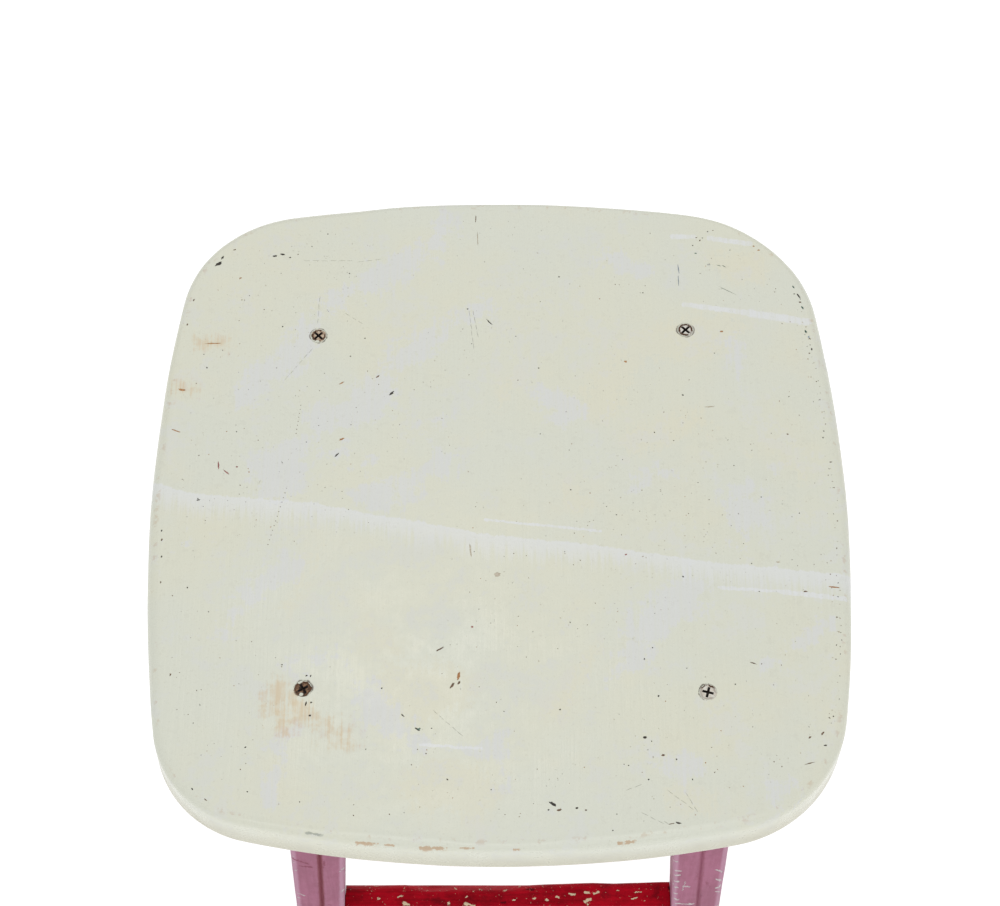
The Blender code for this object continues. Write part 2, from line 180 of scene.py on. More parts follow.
# Paint chips on the seat, in millimetres from its middle: (x, y, length, width, turn in degrees, kind).
# The place of each mark in this file was read off the photo by eye, as a point in the picture, and
# a scratch script turned it into millimetres with the fitted camera.
CHIPS = (
    (-145, 141, 4.0, 2.0, 35, "dark"),
    (-143, 145, 2.5, 1.2, 60, "dark"),
    (-137, 150, 2.0, 0.8, 20, "brown"),
    (-116, 146, 2.4, 1.3, 10, "dark"),
    (-112, 147, 2.8, 1.2, -15, "dark"),
    (-108, 145, 1.2, 0.8, 0, "dark"),
    (-104, 147, 1.0, 0.6, 30, "brown"),
    (-133, 132, 1.6, 1.0, 20, "rust"),
    (153.2, 128.4, 2.4, 0.8, -55, "green"),
    (155.6, 122.6, 3.2, 1.0, -65, "dark"),
    (157.8, 115.6, 2.6, 0.9, -65, "green"),
    (155.2, 118.0, 1.5, 1.1, 0, "brown"),
    (151.6, 122.4, 1.0, 0.7, 0, "dark"),
    (102.9, 158.0, 1.2, 0.7, 20, "brown"),
    (104.6, 156.2, 1.5, 0.8, 50, "brown"),
    (106.0, 157.8, 0.9, 0.6, 0, "dark"),
    (109.0, 161.9, 0.9, 0.8, 0, "dark"),
    (111.7, 162.6, 0.8, 0.6, 0, "brown"),
    (100.8, 152.9, 0.9, 0.7, 0, "dark"),
    (132.8, 153.0, 1.3, 1.0, 0, "rust"),
    (136.1, 151.4, 1.5, 1.0, 20, "rust"),
    (108.6, 140.9, 2.2, 1.2, 30, "faint"),
    (113.8, 140.2, 2.4, 0.5, -20, "green"),
    (116.4, 139.8, 2.6, 0.5, -35, "green"),
    (117.0, 124.7, 8.8, 0.35, -32, "green"),
    (92.8, 138.0, 5.6, 0.5, 95, "blue"),
    (92.5, 130.6, 6.6, 0.4, 90, "blue"),
    (113.3, 99.2, 1.9, 1.3, 20, "rust"),
    (156.0, 99.3, 1.8, 1.2, -60, "green"),
    (158.9, 96.8, 1.6, 1.0, -60, "blue"),
    (160, 96, 1.4, 0.7, -75, "brown"),
    (161, 90, 1.8, 0.8, -80, "dark"),
    (157, 86, 1.2, 0.8, 0, "brown"),
    (-54, 62, 3.2, 1.5, 50, "dark"),
    (-61, 72, 2.2, 1.0, 40, "brown"),
    (-5, 105, 4.6, 0.7, -50, "dark"),
    (-80, 26, 3.0, 0.9, 50, "dark"),
    (-79, 68, 3.0, 0.8, 35, "rust"),
    (-19.2, -94.6, 4.6, 1.5, 80, "rust"),
    (-19.0, -98.2, 2.4, 1.2, 60, "brown"),
    (-22.2, -99.6, 3.6, 1.3, 62, "brown"),
    (-28.2, -80.8, 4.4, 0.8, 32, "brown"),
    (-37.3, -121.8, 2.0, 1.2, 20, "green"),
    (-146.7, 0.2, 2.0, 0.9, 10, "dark"),
    (-90.4, -94.7, 1.3, 0.8, 20, "dark"),
    (-88.5, -94.8, 1.5, 0.7, 70, "dark"),
    (-87.6, -108.4, 1.1, 1.0, 0, "dark"),
    (-166.4, -17.2, 1.2, 0.8, 80, "dark"),
    (-162.8, -21.7, 0.9, 0.8, 0, "brown"),
    (-166.6, -32.0, 1.3, 0.8, 80, "dark"),
    (-166.0, -46.2, 1.4, 0.8, 80, "brown"),
    (-144.6, 91.6, 7.4, 0.8, 2, "rust"),
    (-158.8, 63.8, 4.4, 1.2, -12, "rust"),
    (-161.2, 40.0, 5.0, 0.8, -22, "rust"),
    (159.4, -47.6, 5.5, 0.8, -8, "rust"),
    (64.0, 81.0, 1.6, 1.3, 0, "rust"),
    (-13, -69, 1.4, 1.2, 0, "red"),
    (-78, 35, 2.6, 1.2, 30, "rust"),
    (24, -159, 3.4, 1.6, -30, "dark"),
    (27, -162, 2.6, 1.2, 20, "brown"),
    (22, -162, 1.2, 0.8, 0, "dark"),
    (35, -161, 1.6, 1.1, 0, "dark"),
    (39, -162, 1.3, 0.9, 0, "brown"),
    (82, -171, 2.8, 1.0, -15, "dark"),
    (79, -172, 3.0, 0.5, 10, "brown"),
    (67, -126, 2.0, 1.6, 0, "dark"),
    (75, -135, 1.6, 1.2, 0, "brown"),
    (-154, -94, 1.6, 0.8, 80, "brown"),
    (-163, -22, 1.6, 0.8, 80, "brown"),
    (-157, 119, 1.6, 0.9, 70, "brown"),
    (-160, 104, 1.5, 0.8, 80, "brown"),
    (-145, -157, 1.6, 0.7, -50, "dark"),
    (-138, -162, 1.6, 0.7, -40, "brown"),
    (-1, -41, 3.2, 2.3, 20, "tan"),
    (-14, -28, 7.0, 0.9, 95, "tan"),
    (105, 54, 5.5, 0.7, 5, "tan"),
    (134, -34, 2.0, 1.0, 0, "tan"),
    (146, -50, 2.2, 1.0, 0, "brown"),
    (143, -126, 2.0, 1.1, 40, "brown"),
    (149, -124, 2.2, 1.0, 50, "brown"),
    (150, -130, 1.6, 0.9, 0, "dark"),
    (142, -139, 4.5, 0.6, 15, "brown"),
    (143, 38, 1.2, 1.0, 0, "brown"),
    (119, -88, 3.0, 0.7, -20, "brown"),
    (-138, 20, 4.5, 0.9, 95, "red"),
    (-134, 16, 4.0, 0.8, -40, "red"),
    (-129, 19, 1.4, 0.8, 0, "red"),
    (-45, -115, 2.4, 0.7, -45, "dark"),
    (-38, -122, 3.2, 0.9, -35, "dark"),
    (-12, 170, 4.5, 0.5, 88, "brown"),
    (-11, 157, 8.0, 0.5, 92, "tan"),
    (102, 148, 1.4, 0.9, 0, "green"),
    (61, -30, 1.4, 1.0, 0, "red"),
    (-88, -115, 1.3, 1.0, 0, "dark"),
    (-90, -109, 2.6, 0.8, 80, "dark"),
)

# Small pits, in millimetres from the seat's middle
PITS = (
    (-89, 160), (-77, 135), (-68, 95), (-110, 102), (-75, 84), (-149, 85), (-147, 77), (-147, 1),
    (-16, 113), (31, 133), (74, 123), (113, 99), (109, 86), (92, 61), (77, 39), (35, 6), (128, 2),
    (57, -8), (20, 77), (88, -42), (124, -50), (72, -80), (68, -86), (110, -99), (28, -112),
    (2, -113), (74, -105), (70, -128), (81, -137), (59, -140), (68, -147), (-91, -158),
    (-115, -153), (-4, -152), (-24, -147), (-55, -101), (-102, -89), (-138, -61), (-117, -131),
    (53, -164), (51, -172), (88, -147), (-149, -48), (-97, 152), (145, 60),
)

# Fine scratches: (x, y, length, turn in degrees), in millimetres and degrees
SCRATCHES = (
    (-88, 143, 27.0, 0.0), (-67, 143, 13.0, 8.0), (-92, 112, 18.0, 88.0), (-74, 107, 12.0, -36.0),
    (-101, 79, 24.0, 55.0), (82, -157, 16.0, -40.0), (87, -158, 12.0, -62.0),
    (71, -167, 16.0, -30.0), (-24, -119, 20.0, -44.0), (61, -151, 9.0, 22.0),
    (-14, 100, 24.0, -84.0), (-12, 104, 18.0, -80.0),
)

# A dotted line pricked into the paint: (x, y) where each run starts and ends, in millimetres
PRICKS = (
    ((-98.9, 54.7), (-100.9, 36.0), 8),
    ((-104.1, 6.8), (-112.3, -27.2), 13),
)

# Brushed marks on the seat, each a path of (x, y, half width) in millimetres
GREY_PATCHES = (
    ((-31, 161, 8), (-41, 144, 7), (-59, 134, 5), (-79, 123, 6), (-94, 106, 7), (-105, 81, 10),
     (-119, 72, 8), (-129, 58, 4)),
    ((-7, 116, 4), (-25, 101, 5), (-47, 83, 8), (-61, 67, 9), (-74, 52, 13), (-88, 47, 7)),
    ((-32, 46, 3), (-29, 18, 3)),
    ((-59, 5, 8), (-48, 7, 9)),
    ((-103, 30, 7), (-110, 17, 10), (-111, 6, 9)),
    ((-83, 28, 2), (-64, 22, 2)),
    ((-156, -21, 4), (-153, -24, 3)),
    ((-103, -40, 6), (-113, -47, 9), (-124, -60, 6), (-130, -73, 4)),
    ((-97, -88, 4), (-75, -86, 4), (-63, -102, 6), (-53, -115, 6), (-42, -130, 4)),
    ((-97, -125, 5), (-99, -132, 3), (-104, -155, 3)),
    ((23, 61, 4), (38, 55, 5), (30, 43, 5)),
    ((64, 6, 4), (76, 14, 4), (84, 17, 3)),
    ((133, 17, 4), (120, 5, 6), (118, -8, 6), (114, -25, 3)),
    ((98, -47, 6), (82, -57, 10), (70, -71, 8), (51, -97, 4)),
    ((161, -64, 1.4), (142, -76, 2), (123, -89, 2)),
    ((136, -150, 3), (128, -154, 2)),
    ((76, -142, 3), (89, -140, 4)),
    ((58, 145, 3), (73, 137, 4)),
    ((122, 94, 3), (122, 79, 3)),
    ((-2, -132, 3), (5, -148, 3)),
    ((-41, -129, 1.6), (-4, -132, 1.4)),
)
# Yellowed paint; the two wide patches round (-36, -102) and (-22, -152) are a painted warm highlight
YELLOWED_AND_HIGHLIGHT_PATCHES = (
    ((5, 67, 3), (-7, 40, 1.5)),
    ((45, -81, 2.5), (26, -115, 3)),
    ((-64, -68, 2), (-47, -84, 1.4)),
    ((-84, -25, 3), (-102, -60, 3)),
    ((50, 58, 12), (71, 88, 10), (112, 100, 14)),
    ((70, 34, 8), (100, 46, 8)),
    # These two patches are a painted warm highlight
    ((-45, -102, 15), (-28, -103, 16)),
    ((-30, -152, 15), (-15, -153, 14)),
    ((80, -156, 6), (92, -159, 7)),
    ((120, 141, 12), (132, 137, 10)),
    ((39, 0, 6), (34, 4, 5)),
    ((121, 24.6, 0.9), (138, 25.8, 0.9), (150, 13, 0.9), (140, 3, 0.9)),
)
RUST_STAINS = (
    ((-103, -100, 2.2), (-105, -108, 3.5), (-104, -115, 1.5)),
    ((-101, -108, 1.6), (-100, -114, 3), (-100, -123, 1.5)),
    ((-97, -106, 2), (-90, -113, 4), (-84, -118, 2)),
    ((-80, -118, 2), (-75, -125, 3), (-70, -129, 2)),
    ((-149, 92, 1.2), (-139, 91, 1)),
    ((-159, 65, 2.5), (-157, 64, 2)),
)
# The long lap of white paint across the middle: the (x, y) of its crisp upper edge
LAP = ((-170, 11), (-150, 4), (-90, -1), (-68, -6), (-38, -12), (-5, -19), (51, -25), (103, -34), (170, -41))
LAP_CORE = 0.0050
LAP_DEPTH = 0.0190
# Thin strokes of white paint: (x, y) of each end and half width, in millimetres
WHITE_STROKES = (
    (90.6, 158.5, 101.4, 158.3, 1.9),
    (109.8, 157.4, 130.2, 153.8, 1.9),
    (95, 115.6, 128, 110.4, 2.0),
    (128, 110.4, 157, 105.0, 2.8),
    (-7, -11, 49, -17, 0.9),
    (105, -48, 134, -50, 1.2),
    (134, -50, 165, -54, 1.6),
    (-37, -129.6, -8, -131.6, 0.9),
)
# Bare timber along the front arris
BARE_STROKES = (
    (-65, -176.4, -55, -177.4, 0.55),
    (-52, -177.6, -48, -178.0, 0.45),
    (-36, -179.0, -24, -179.6, 0.60),
    (-18, -179.6, -12, -179.9, 0.50),
    (53, -177.2, 61, -176.4, 0.60),
    (6, -180.2, 9, -180.2, 0.40),
)
SCUFF_STROKES = ((-88, -172.4, -80, -173.8, 0.6),)

# Marks on the front faces of the legs: (x, z) of each end and half width, in millimetres
LEG_CHIPS = (
    (91.2, 172, 95.2, 171.6, 1.1), (91.4, 165, 95.4, 166, 1.0), (92.4, 157.2, 95.6, 156.8, 0.9),
    (93.3, 149.4, 95.6, 148.8, 1.1), (94.1, 141, 95.4, 140, 0.9), (94.8, 133, 96.5, 132, 1.0),
    (96.4, 126.2, 104.6, 125.8, 1.1), (99.2, 150.2, 102.0, 149.8, 0.8), (98.2, 144.6, 99.0, 156.8, 0.35),
    (114.6, 173.4, 117.4, 170.2, 0.9), (115.8, 160.4, 118.0, 158.4, 1.0), (116.4, 147.8, 118.6, 152.4, 0.9),
    (116.6, 143.2, 118.2, 142.0, 0.9), (-108.4, 135, -106.6, 134.6, 0.8), (-107.6, 142.6, -103.0, 137.6, 0.5),
)
LEG_SCUFFS = (
    (-106.0, 187.2, -99.0, 181.6, 1.0), (-103.0, 178.4, -97.6, 177.0, 0.9), (-91.3, 176.2, -90.0, 185.4, 0.5),
    (-91.2, 125.0, -90.2, 124.6, 0.9),
)
# Marks on the top of the front rail: (x, y) of each end and half width, in millimetres
RAIL_CHIPS = (
    (-54.4, -110, -52.4, -109.2, 0.60), (-65.6, -111, -64.8, -111, 0.45),
    (-51.6, -113.6, -49.2, -114.4, 0.95), (-27.4, -113.6, -26.6, -114, 0.60),
    (-17.4, -110, -16.8, -110, 0.45), (-18.2, -113.8, -13.2, -114.6, 0.75),
    (-24.2, -103.4, -22.4, -104.6, 0.30), (8.6, -111.6, 9.6, -112, 0.45), (19.6, -111, 20.4, -111, 0.55),
    (26.2, -111.6, 27.4, -111.8, 0.80), (32.6, -109.8, 33.6, -110, 0.60), (39.0, -108, 42.0, -108.4, 0.70),
    (48.0, -107, 50.2, -107.4, 0.90), (53.0, -107.6, 55.8, -107.2, 0.65), (47.6, -112.6, 50.8, -111.2, 0.90),
    (65.6, -106, 66.4, -106, 0.45), (76.0, -107, 78.8, -107, 0.45), (73.2, -111.2, 76.6, -110.2, 0.50),
)
# Dark spots on the rail's top, two of them by its ends
RAIL_DARK_SPOTS = (
    (-82.6, -105, -81.6, -105, 0.8), (94.4, -105, 95.4, -105, 0.8), (16.6, -105, 19.4, -105.4, 0.8),
    (2.2, -113, 3.8, -113, 0.8),
)

# Colours, as linear red, green and blue
CREAM = (0.640, 0.652, 0.556)
CREAM_WARM = (0.652, 0.654, 0.538)
AGED_AND_HIGHLIGHT_YELLOW = (0.694, 0.652, 0.485)
GREY_WHITE = (0.636, 0.644, 0.628)
FRESH_WHITE = (0.690, 0.702, 0.712)
RUST_STAIN = (0.600, 0.440, 0.250)
# Painted shade down the seat's edge
EDGE_PAINTED_SHADE = (0.500, 0.478, 0.362)
BARE_TIMBER = (0.480, 0.330, 0.200)
OLD_GREEN = (0.100, 0.130, 0.110)
GRIME = (0.340, 0.300, 0.220)
BRUSH_GREY = (0.500, 0.510, 0.500)
FLECK_GREY = (0.460, 0.440, 0.380)
SCREW_RUST = (0.070, 0.030, 0.013)
MAUVE_DARK = (0.278, 0.085, 0.143)
MAUVE_LIGHT = (0.362, 0.130, 0.206)
# Painted highlight for the legs' arrises
MAUVE_ARRIS_HIGHLIGHT = (0.500, 0.285, 0.385)
# Painted shade for the legs' groove
MAUVE_GROOVE_SHADE = (0.190, 0.028, 0.046)
CRIMSON = (0.190, 0.030, 0.060)
UNDERCOAT = (0.560, 0.535, 0.520)
RED_DARK = (0.245, 0.0006, 0.0070)
RED_LIGHT = (0.520, 0.0014, 0.0150)
RED_GRIME = (0.090, 0.0020, 0.0060)
RAIL_UNDERCOAT = (0.840, 0.740, 0.500)
RECESS_DARK = (0.006, 0.004, 0.003)
RECESS_LIGHT = (0.030, 0.016, 0.012)
# What shows in the seat's chips, by kind: its dark and its light
CHIP_COLOURS = {
    "dark": ((0.012, 0.010, 0.008), (0.050, 0.036, 0.026)),
    "brown": ((0.090, 0.050, 0.030), (0.200, 0.120, 0.070)),
    "rust": ((0.300, 0.120, 0.040), (0.480, 0.260, 0.110)),
    "red": ((0.220, 0.060, 0.060), (0.380, 0.160, 0.140)),
    "tan": ((0.430, 0.370, 0.280), (0.560, 0.510, 0.410)),
    "green": ((0.020, 0.060, 0.045), (0.120, 0.200, 0.160)),
    "blue": ((0.120, 0.160, 0.220), (0.260, 0.320, 0.380)),
    "faint": ((0.340, 0.340, 0.310), (0.480, 0.480, 0.440)),
}


def smoothstep(value):
    value = np.clip(value, 0.0, 1.0)
    return value * value * (3.0 - 2.0 * value)


def lattice_noise(points, scale, seed):
    """Smooth noise from -1 to 1 at each point, with features of about this size."""
    side = 32
    values = np.random.default_rng(seed).uniform(-1.0, 1.0, (side, side, side))
    cell = np.floor(points / scale).astype(int)
    part = smoothstep(points / scale - cell)
    total = np.zeros(len(points))
    for corner in product((0, 1), repeat=3):
        weight = np.prod(np.where(corner, part, 1.0 - part), axis=1)
        x, y, z = ((cell + corner) % side).T
        total += weight * values[x, y, z]
    return total


def vertices_of(mesh):
    points = np.empty(len(mesh.vertices) * 3, np.float32)
    mesh.vertices.foreach_get("co", points)
    return points.reshape(-1, 3).astype(float)


def set_vertices(mesh, points):
    mesh.vertices.foreach_set("co", points.astype(np.float32).ravel())
    mesh.update()


def add_object(name, data):
    made = bpy.data.objects.new(name, data)
    bpy.context.scene.collection.objects.link(made)
    return made


def add_piece(name, mesh, node, materials):
    """Links a finished mesh as the piece that stands for a CAD node."""
    for material in materials:
        mesh.materials.append(material)
    piece = add_object(name, mesh)
    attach(piece, BODY)
    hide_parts(node)
    return piece


def mesh_from(shape, name):
    """A bmesh as a mesh; the bmesh is freed."""
    mesh = bpy.data.meshes.new(name)
    shape.to_mesh(mesh)
    shape.free()
    return mesh


def smooth(mesh):
    mesh.shade_smooth()
    mesh.set_sharp_from_angle(angle=SMOOTH_ANGLE)


def bridge(shape, lower, upper):
    """Faces between two loops of the same number of points."""
    for i in range(len(lower)):
        j = (i + 1) % len(lower)
        shape.faces.new((lower[i], lower[j], upper[j], upper[i]))


# ---------------------------------------------------------------- materials


class Paint:
    """A material in the making. Each method adds nodes and returns the socket that they end in."""

    def __init__(self, name):
        self.material = bpy.data.materials.new(name)
        self.material.use_nodes = True
        self.nodes = self.material.node_tree.nodes
        self.links = self.material.node_tree.links
        self.shader = self.nodes["Principled BSDF"]
        place = self.nodes.new("ShaderNodeTexCoord")
        self.point = place.outputs["Object"]
        self.normal = place.outputs["Normal"]

    def feed(self, socket, value):
        if isinstance(value, bpy.types.NodeSocket):
            self.links.new(value, socket)
        elif isinstance(value, tuple) and socket.type == "RGBA":
            socket.default_value = (*value, 1.0)
        else:
            socket.default_value = value

    def set(self, name, value):
        self.feed(self.shader.inputs[name], value)

    def math(self, operation, a, b=0.0, clamp=False):
        node = self.nodes.new("ShaderNodeMath")
        node.operation = operation
        node.use_clamp = clamp
        self.feed(node.inputs[0], a)
        self.feed(node.inputs[1], b)
        return node.outputs[0]

    def vector(self, operation, a, b, output="Vector"):
        node = self.nodes.new("ShaderNodeVectorMath")
        node.operation = operation
        self.feed(node.inputs[0], a)
        self.feed(node.inputs["Scale" if operation == "SCALE" else 1], b)
        return node.outputs[output]

    def stretched(self, x, y, z):
        return self.vector("MULTIPLY", self.point, (x, y, z))

    def noise(self, point, scale, detail=3.0, roughness=0.5, output="Fac"):
        node = self.nodes.new("ShaderNodeTexNoise")
        self.feed(node.inputs["Vector"], point)
        node.inputs["Scale"].default_value = scale
        node.inputs["Detail"].default_value = detail
        node.inputs["Roughness"].default_value = roughness
        return node.outputs[output]

    def remap(self, value, low, high, to_low=0.0, to_high=1.0):
        node = self.nodes.new("ShaderNodeMapRange")
        node.interpolation_type = "SMOOTHSTEP"
        self.feed(node.inputs["Value"], value)
        for name, number in (
            ("From Min", low), ("From Max", high), ("To Min", to_low), ("To Max", to_high)
        ):
            self.feed(node.inputs[name], number)
        return node.outputs["Result"]

    def spread(self, noise, amount):
        """A noise as a signed length, up to about this amount each way."""
        return self.math("MULTIPLY", self.math("SUBTRACT", noise, 0.5), 2.0 * amount)

    def total(self, *values):
        result = values[0]
        for value in values[1:]:
            result = self.math("ADD", result, value)
        return result

    def product(self, *values):
        result = values[0]
        for value in values[1:]:
            result = self.math("MULTIPLY", result, value)
        return result

    def mix(self, factor, a, b, blend="MIX"):
        node = self.nodes.new("ShaderNodeMix")
        node.data_type = "RGBA"
        node.blend_type = blend
        self.feed(node.inputs[0], factor)
        self.feed(node.inputs[6], a)
        self.feed(node.inputs[7], b)
        return node.outputs[2]

    def over(self, colour, layer, mask, strength):
        """The colour with a layer on it that is this strong where the mask is 1."""
        return self.mix(self.math("MULTIPLY", mask, strength), colour, layer)

    def attribute(self, name, output="Fac"):
        """A number or, with output "Vector", a place that is stored at each vertex."""
        node = self.nodes.new("ShaderNodeAttribute")
        node.attribute_name = name
        return node.outputs[output]

    def axis(self, point, name):
        node = self.nodes.new("ShaderNodeSeparateXYZ")
        self.feed(node.inputs[0], point)
        return node.outputs[name]

    def ragged(self, point, amount, scale, detail=3.0):
        """A point, moved about so that an outline drawn with it is ragged."""
        jitter = self.vector("SUBTRACT", self.noise(self.point, scale, detail, 0.6, "Color"), (0.5,) * 3)
        return self.vector("ADD", point, self.vector("SCALE", jitter, amount))

    def stroke(self, point, start, end, half_width, softness):
        """1 along a straight stroke of paint, falling to 0 over this part of its half width."""
        run = Vector(end) - Vector(start)
        along = run / max(run.length_squared, 1e-12)
        offset = self.vector("SUBTRACT", point, tuple(start))
        travel = self.math("ADD", self.vector("DOT_PRODUCT", offset, tuple(along), "Value"), 0.0, True)
        nearest = self.vector("SCALE", tuple(run), travel)
        distance = self.vector("LENGTH", self.vector("SUBTRACT", offset, nearest), (0.0,) * 3, "Value")
        return self.remap(distance, half_width * (1.0 - softness), half_width, 1.0, 0.0)

    def strokes(self, point, places, softness, height=0.0, upright=False):
        """The strongest of several strokes, whose ends and half widths are in millimetres.

        They lie at this height, or stand in the X-Z plane, where point has no Y.
        """
        total = None
        for x, y, end_x, end_y, half_width in places:
            if upright:
                start, end = (x * MM, 0.0, y * MM), (end_x * MM, 0.0, end_y * MM)
            else:
                start, end = (x * MM, y * MM, height), (end_x * MM, end_y * MM, height)
            mask = self.stroke(point, start, end, half_width * MM, softness)
            total = mask if total is None else self.math("MAXIMUM", total, mask)
        return total

    def bump(self, height, distance, strength=1.0):
        node = self.nodes.new("ShaderNodeBump")
        self.feed(node.inputs["Height"], height)
        node.inputs["Distance"].default_value = distance
        node.inputs["Strength"].default_value = strength
        self.links.new(node.outputs["Normal"], self.shader.inputs["Normal"])


def plain_paint(name, dark, light, roughness):
    """Bare timber, rust or old paint that shows where the top coat has gone."""
    paint = Paint(name)
    grain = paint.noise(paint.point, 900.0, 4.0, 0.65)
    paint.set("Base Color", paint.mix(paint.remap(grain, 0.35, 0.65), dark, light))
    paint.set("Roughness", paint.remap(grain, 0.3, 0.7, roughness, roughness + 0.2))
    paint.bump(grain, 0.00008)
    return paint.material


def seat_paint():
    paint = Paint("cream_seat_paint")
    height = paint.axis(paint.point, "Z")
    cloud = paint.noise(paint.point, 14.0, 4.0, 0.6)
    blotch = paint.noise(paint.point, 38.0, 6.0, 0.62)
    fleck = paint.noise(paint.point, 210.0, 5.0, 0.62)
    fine = paint.noise(paint.point, 700.0, 3.0, 0.6)
    brush = paint.noise(paint.stretched(1.0, 0.035, 1.0), 620.0, 4.0, 0.65)
    broad_brush = paint.noise(paint.stretched(1.0, 0.12, 1.0), 90.0, 3.0, 0.6)
    # How far a mark's outline strays, in metres
    stray = paint.total(
        paint.spread(blotch, 0.024), paint.spread(fleck, 0.018), paint.spread(brush, 0.009)
    )
    # Cream that has yellowed unevenly, and a painted warm highlight in front of the middle
    colour = paint.mix(paint.remap(cloud, 0.40, 0.62), CREAM, CREAM_WARM)
    aged = paint.remap(paint.noise(paint.stretched(1.0, 1.0, 0.3), 23.0, 6.0, 0.68), 0.50, 0.68)
    colour = paint.over(colour, AGED_AND_HIGHLIGHT_YELLOW, aged, 0.22)
    # Yellowed patches, two of them a painted warm highlight
    yellowing_and_highlight = paint.remap(paint.total(paint.attribute("yellowing_and_highlight"), stray), -0.0030, 0.0045)
    colour = paint.over(colour, AGED_AND_HIGHLIGHT_YELLOW, yellowing_and_highlight, 0.34)
    # Thin grey-white coats that the cream has worn down to
    grey_patch = paint.remap(paint.total(paint.attribute("grey"), stray), -0.0022, 0.0034)
    thin = paint.total(blotch, paint.spread(fleck, 0.35), paint.spread(brush, 0.10))
    thin_patch = paint.remap(thin, 0.55, 0.64)
    grey = paint.math("MAXIMUM", paint.product(grey_patch, 0.85), paint.product(thin_patch, 0.40))
    grey = paint.product(grey, paint.remap(brush, 0.30, 0.62, 0.60, 1.0))
    colour = paint.mix(grey, colour, GREY_WHITE)
    # The lap of white paint across the middle, crisp at the back and brushed out to the front
    below = paint.total(paint.attribute("lap"), paint.spread(fleck, 0.0024), paint.spread(brush, 0.0012))
    crisp = paint.remap(below, -0.0001, 0.0007)
    core = paint.remap(below, 0.3 * LAP_CORE, LAP_CORE, 0.62, 0.0)
    drip_length = paint.remap(brush, 0.30, 0.66, 0.30 * LAP_DEPTH, LAP_DEPTH)
    drips = paint.remap(paint.math("DIVIDE", below, drip_length), 0.20, 1.10, 0.56, 0.0)
    lap = paint.product(crisp, paint.math("MAXIMUM", core, drips))
    colour = paint.mix(lap, colour, FRESH_WHITE)
    flat_ragged = paint.ragged(paint.point, 0.0024, 420.0)
    white = paint.strokes(flat_ragged, WHITE_STROKES, 0.45, TOP)
    white = paint.product(white, paint.remap(brush, 0.36, 0.56, 0.45, 0.78))
    colour = paint.mix(white, colour, FRESH_WHITE)
    # Rust that has run from the screw at the front left
    run = paint.total(paint.attribute("stain"), paint.spread(fleck, 0.014), paint.spread(brush, 0.010))
    streaks = paint.remap(brush, 0.35, 0.60, 0.35, 1.0)
    stain = paint.product(paint.remap(run, -0.0050, 0.0045), streaks)
    colour = paint.over(colour, RUST_STAIN, stain, 0.60)
    # Dirt round the screws
    collar = paint.math("SUBTRACT", paint.attribute("screw"), paint.spread(fleck, 0.0007))
    ring = paint.product(paint.remap(collar, 0.0, 0.0005, 1.0, 0.0), paint.remap(fleck, 0.47, 0.57))
    colour = paint.over(colour, SCREW_RUST, ring, 0.7)
    # The edge: painted shade, greyer downwards, and rubbed along the arrises
    drop = paint.total(paint.math("SUBTRACT", TOP, height), paint.spread(blotch, 0.004))
    # Painted shade: the edge darker towards its underside
    colour = paint.mix(paint.remap(drop, 0.004, 0.023, 0.0, 0.80), colour, EDGE_PAINTED_SHADE)
    rim_ragged = paint.vector("MULTIPLY", paint.ragged(paint.point, 0.0018, 480.0), (1.0, 1.0, 0.0))
    near_top = paint.remap(height, TOP - 0.0065, TOP - 0.0045)
    bare_strokes = paint.strokes(rim_ragged, BARE_STROKES, 0.45)
    bare = paint.product(bare_strokes, near_top, paint.remap(fleck, 0.40, 0.50))
    colour = paint.over(colour, BARE_TIMBER, bare, 0.85)
    scuff_strokes = paint.strokes(rim_ragged, SCUFF_STROKES, 0.6)
    scuff = paint.product(scuff_strokes, near_top, paint.remap(fleck, 0.45, 0.55))
    colour = paint.over(colour, OLD_GREEN, scuff, 0.5)
    low_wear = paint.product(paint.remap(drop, 0.0195, 0.0245), paint.remap(fleck, 0.62, 0.68))
    colour = paint.over(colour, BARE_TIMBER, low_wear, 0.8)
    arris = paint.remap(paint.math("ABSOLUTE", paint.attribute("rim")), 0.0, 0.0022, 1.0, 0.0)
    rubbed = paint.product(arris, paint.remap(fleck, 0.57, 0.63), paint.remap(drop, 0.006, 0.003))
    colour = paint.over(colour, BARE_TIMBER, rubbed, 0.35)
    # Grime in the brush marks and fine specks
    colour = paint.mix(paint.remap(fine, 0.26, 0.42, 0.16, 0.0), colour, GRIME)
    colour = paint.mix(paint.remap(brush, 0.30, 0.70, 0.05, 0.0), colour, BRUSH_GREY)
    colour = paint.mix(paint.remap(fleck, 0.30, 0.42, 0.10, 0.0), colour, FLECK_GREY)
    paint.set("Base Color", colour)
    shine = paint.total(paint.spread(fleck, 0.35), paint.spread(brush, 0.20), blotch)
    paint.set("Roughness", paint.remap(shine, 0.30, 0.85, 0.24, 0.50))
    paint.set("Specular IOR Level", 0.42)
    relief = paint.total(paint.product(brush, 0.5), broad_brush, paint.product(fleck, 0.5))
    paint.bump(relief, 0.00014)
    return paint.material


def timber_brushing(paint, dark, light):
    """The brushed, mottled colour of painted timber, and its fine noise."""
    fleck = paint.noise(paint.point, 240.0, 5.0, 0.65)
    grain = paint.attribute("grain", "Vector")
    brush = paint.noise(grain, 620.0, 4.0, 0.65)
    half_grain = paint.mix(0.6, paint.point, grain)
    mottle = paint.noise(half_grain, 62.0, 6.0, 0.66)
    tone = paint.total(mottle, paint.spread(brush, 0.22), paint.spread(fleck, 0.18))
    colour = paint.mix(paint.remap(tone, 0.30, 0.70), dark, light)
    return colour, fleck, brush, mottle


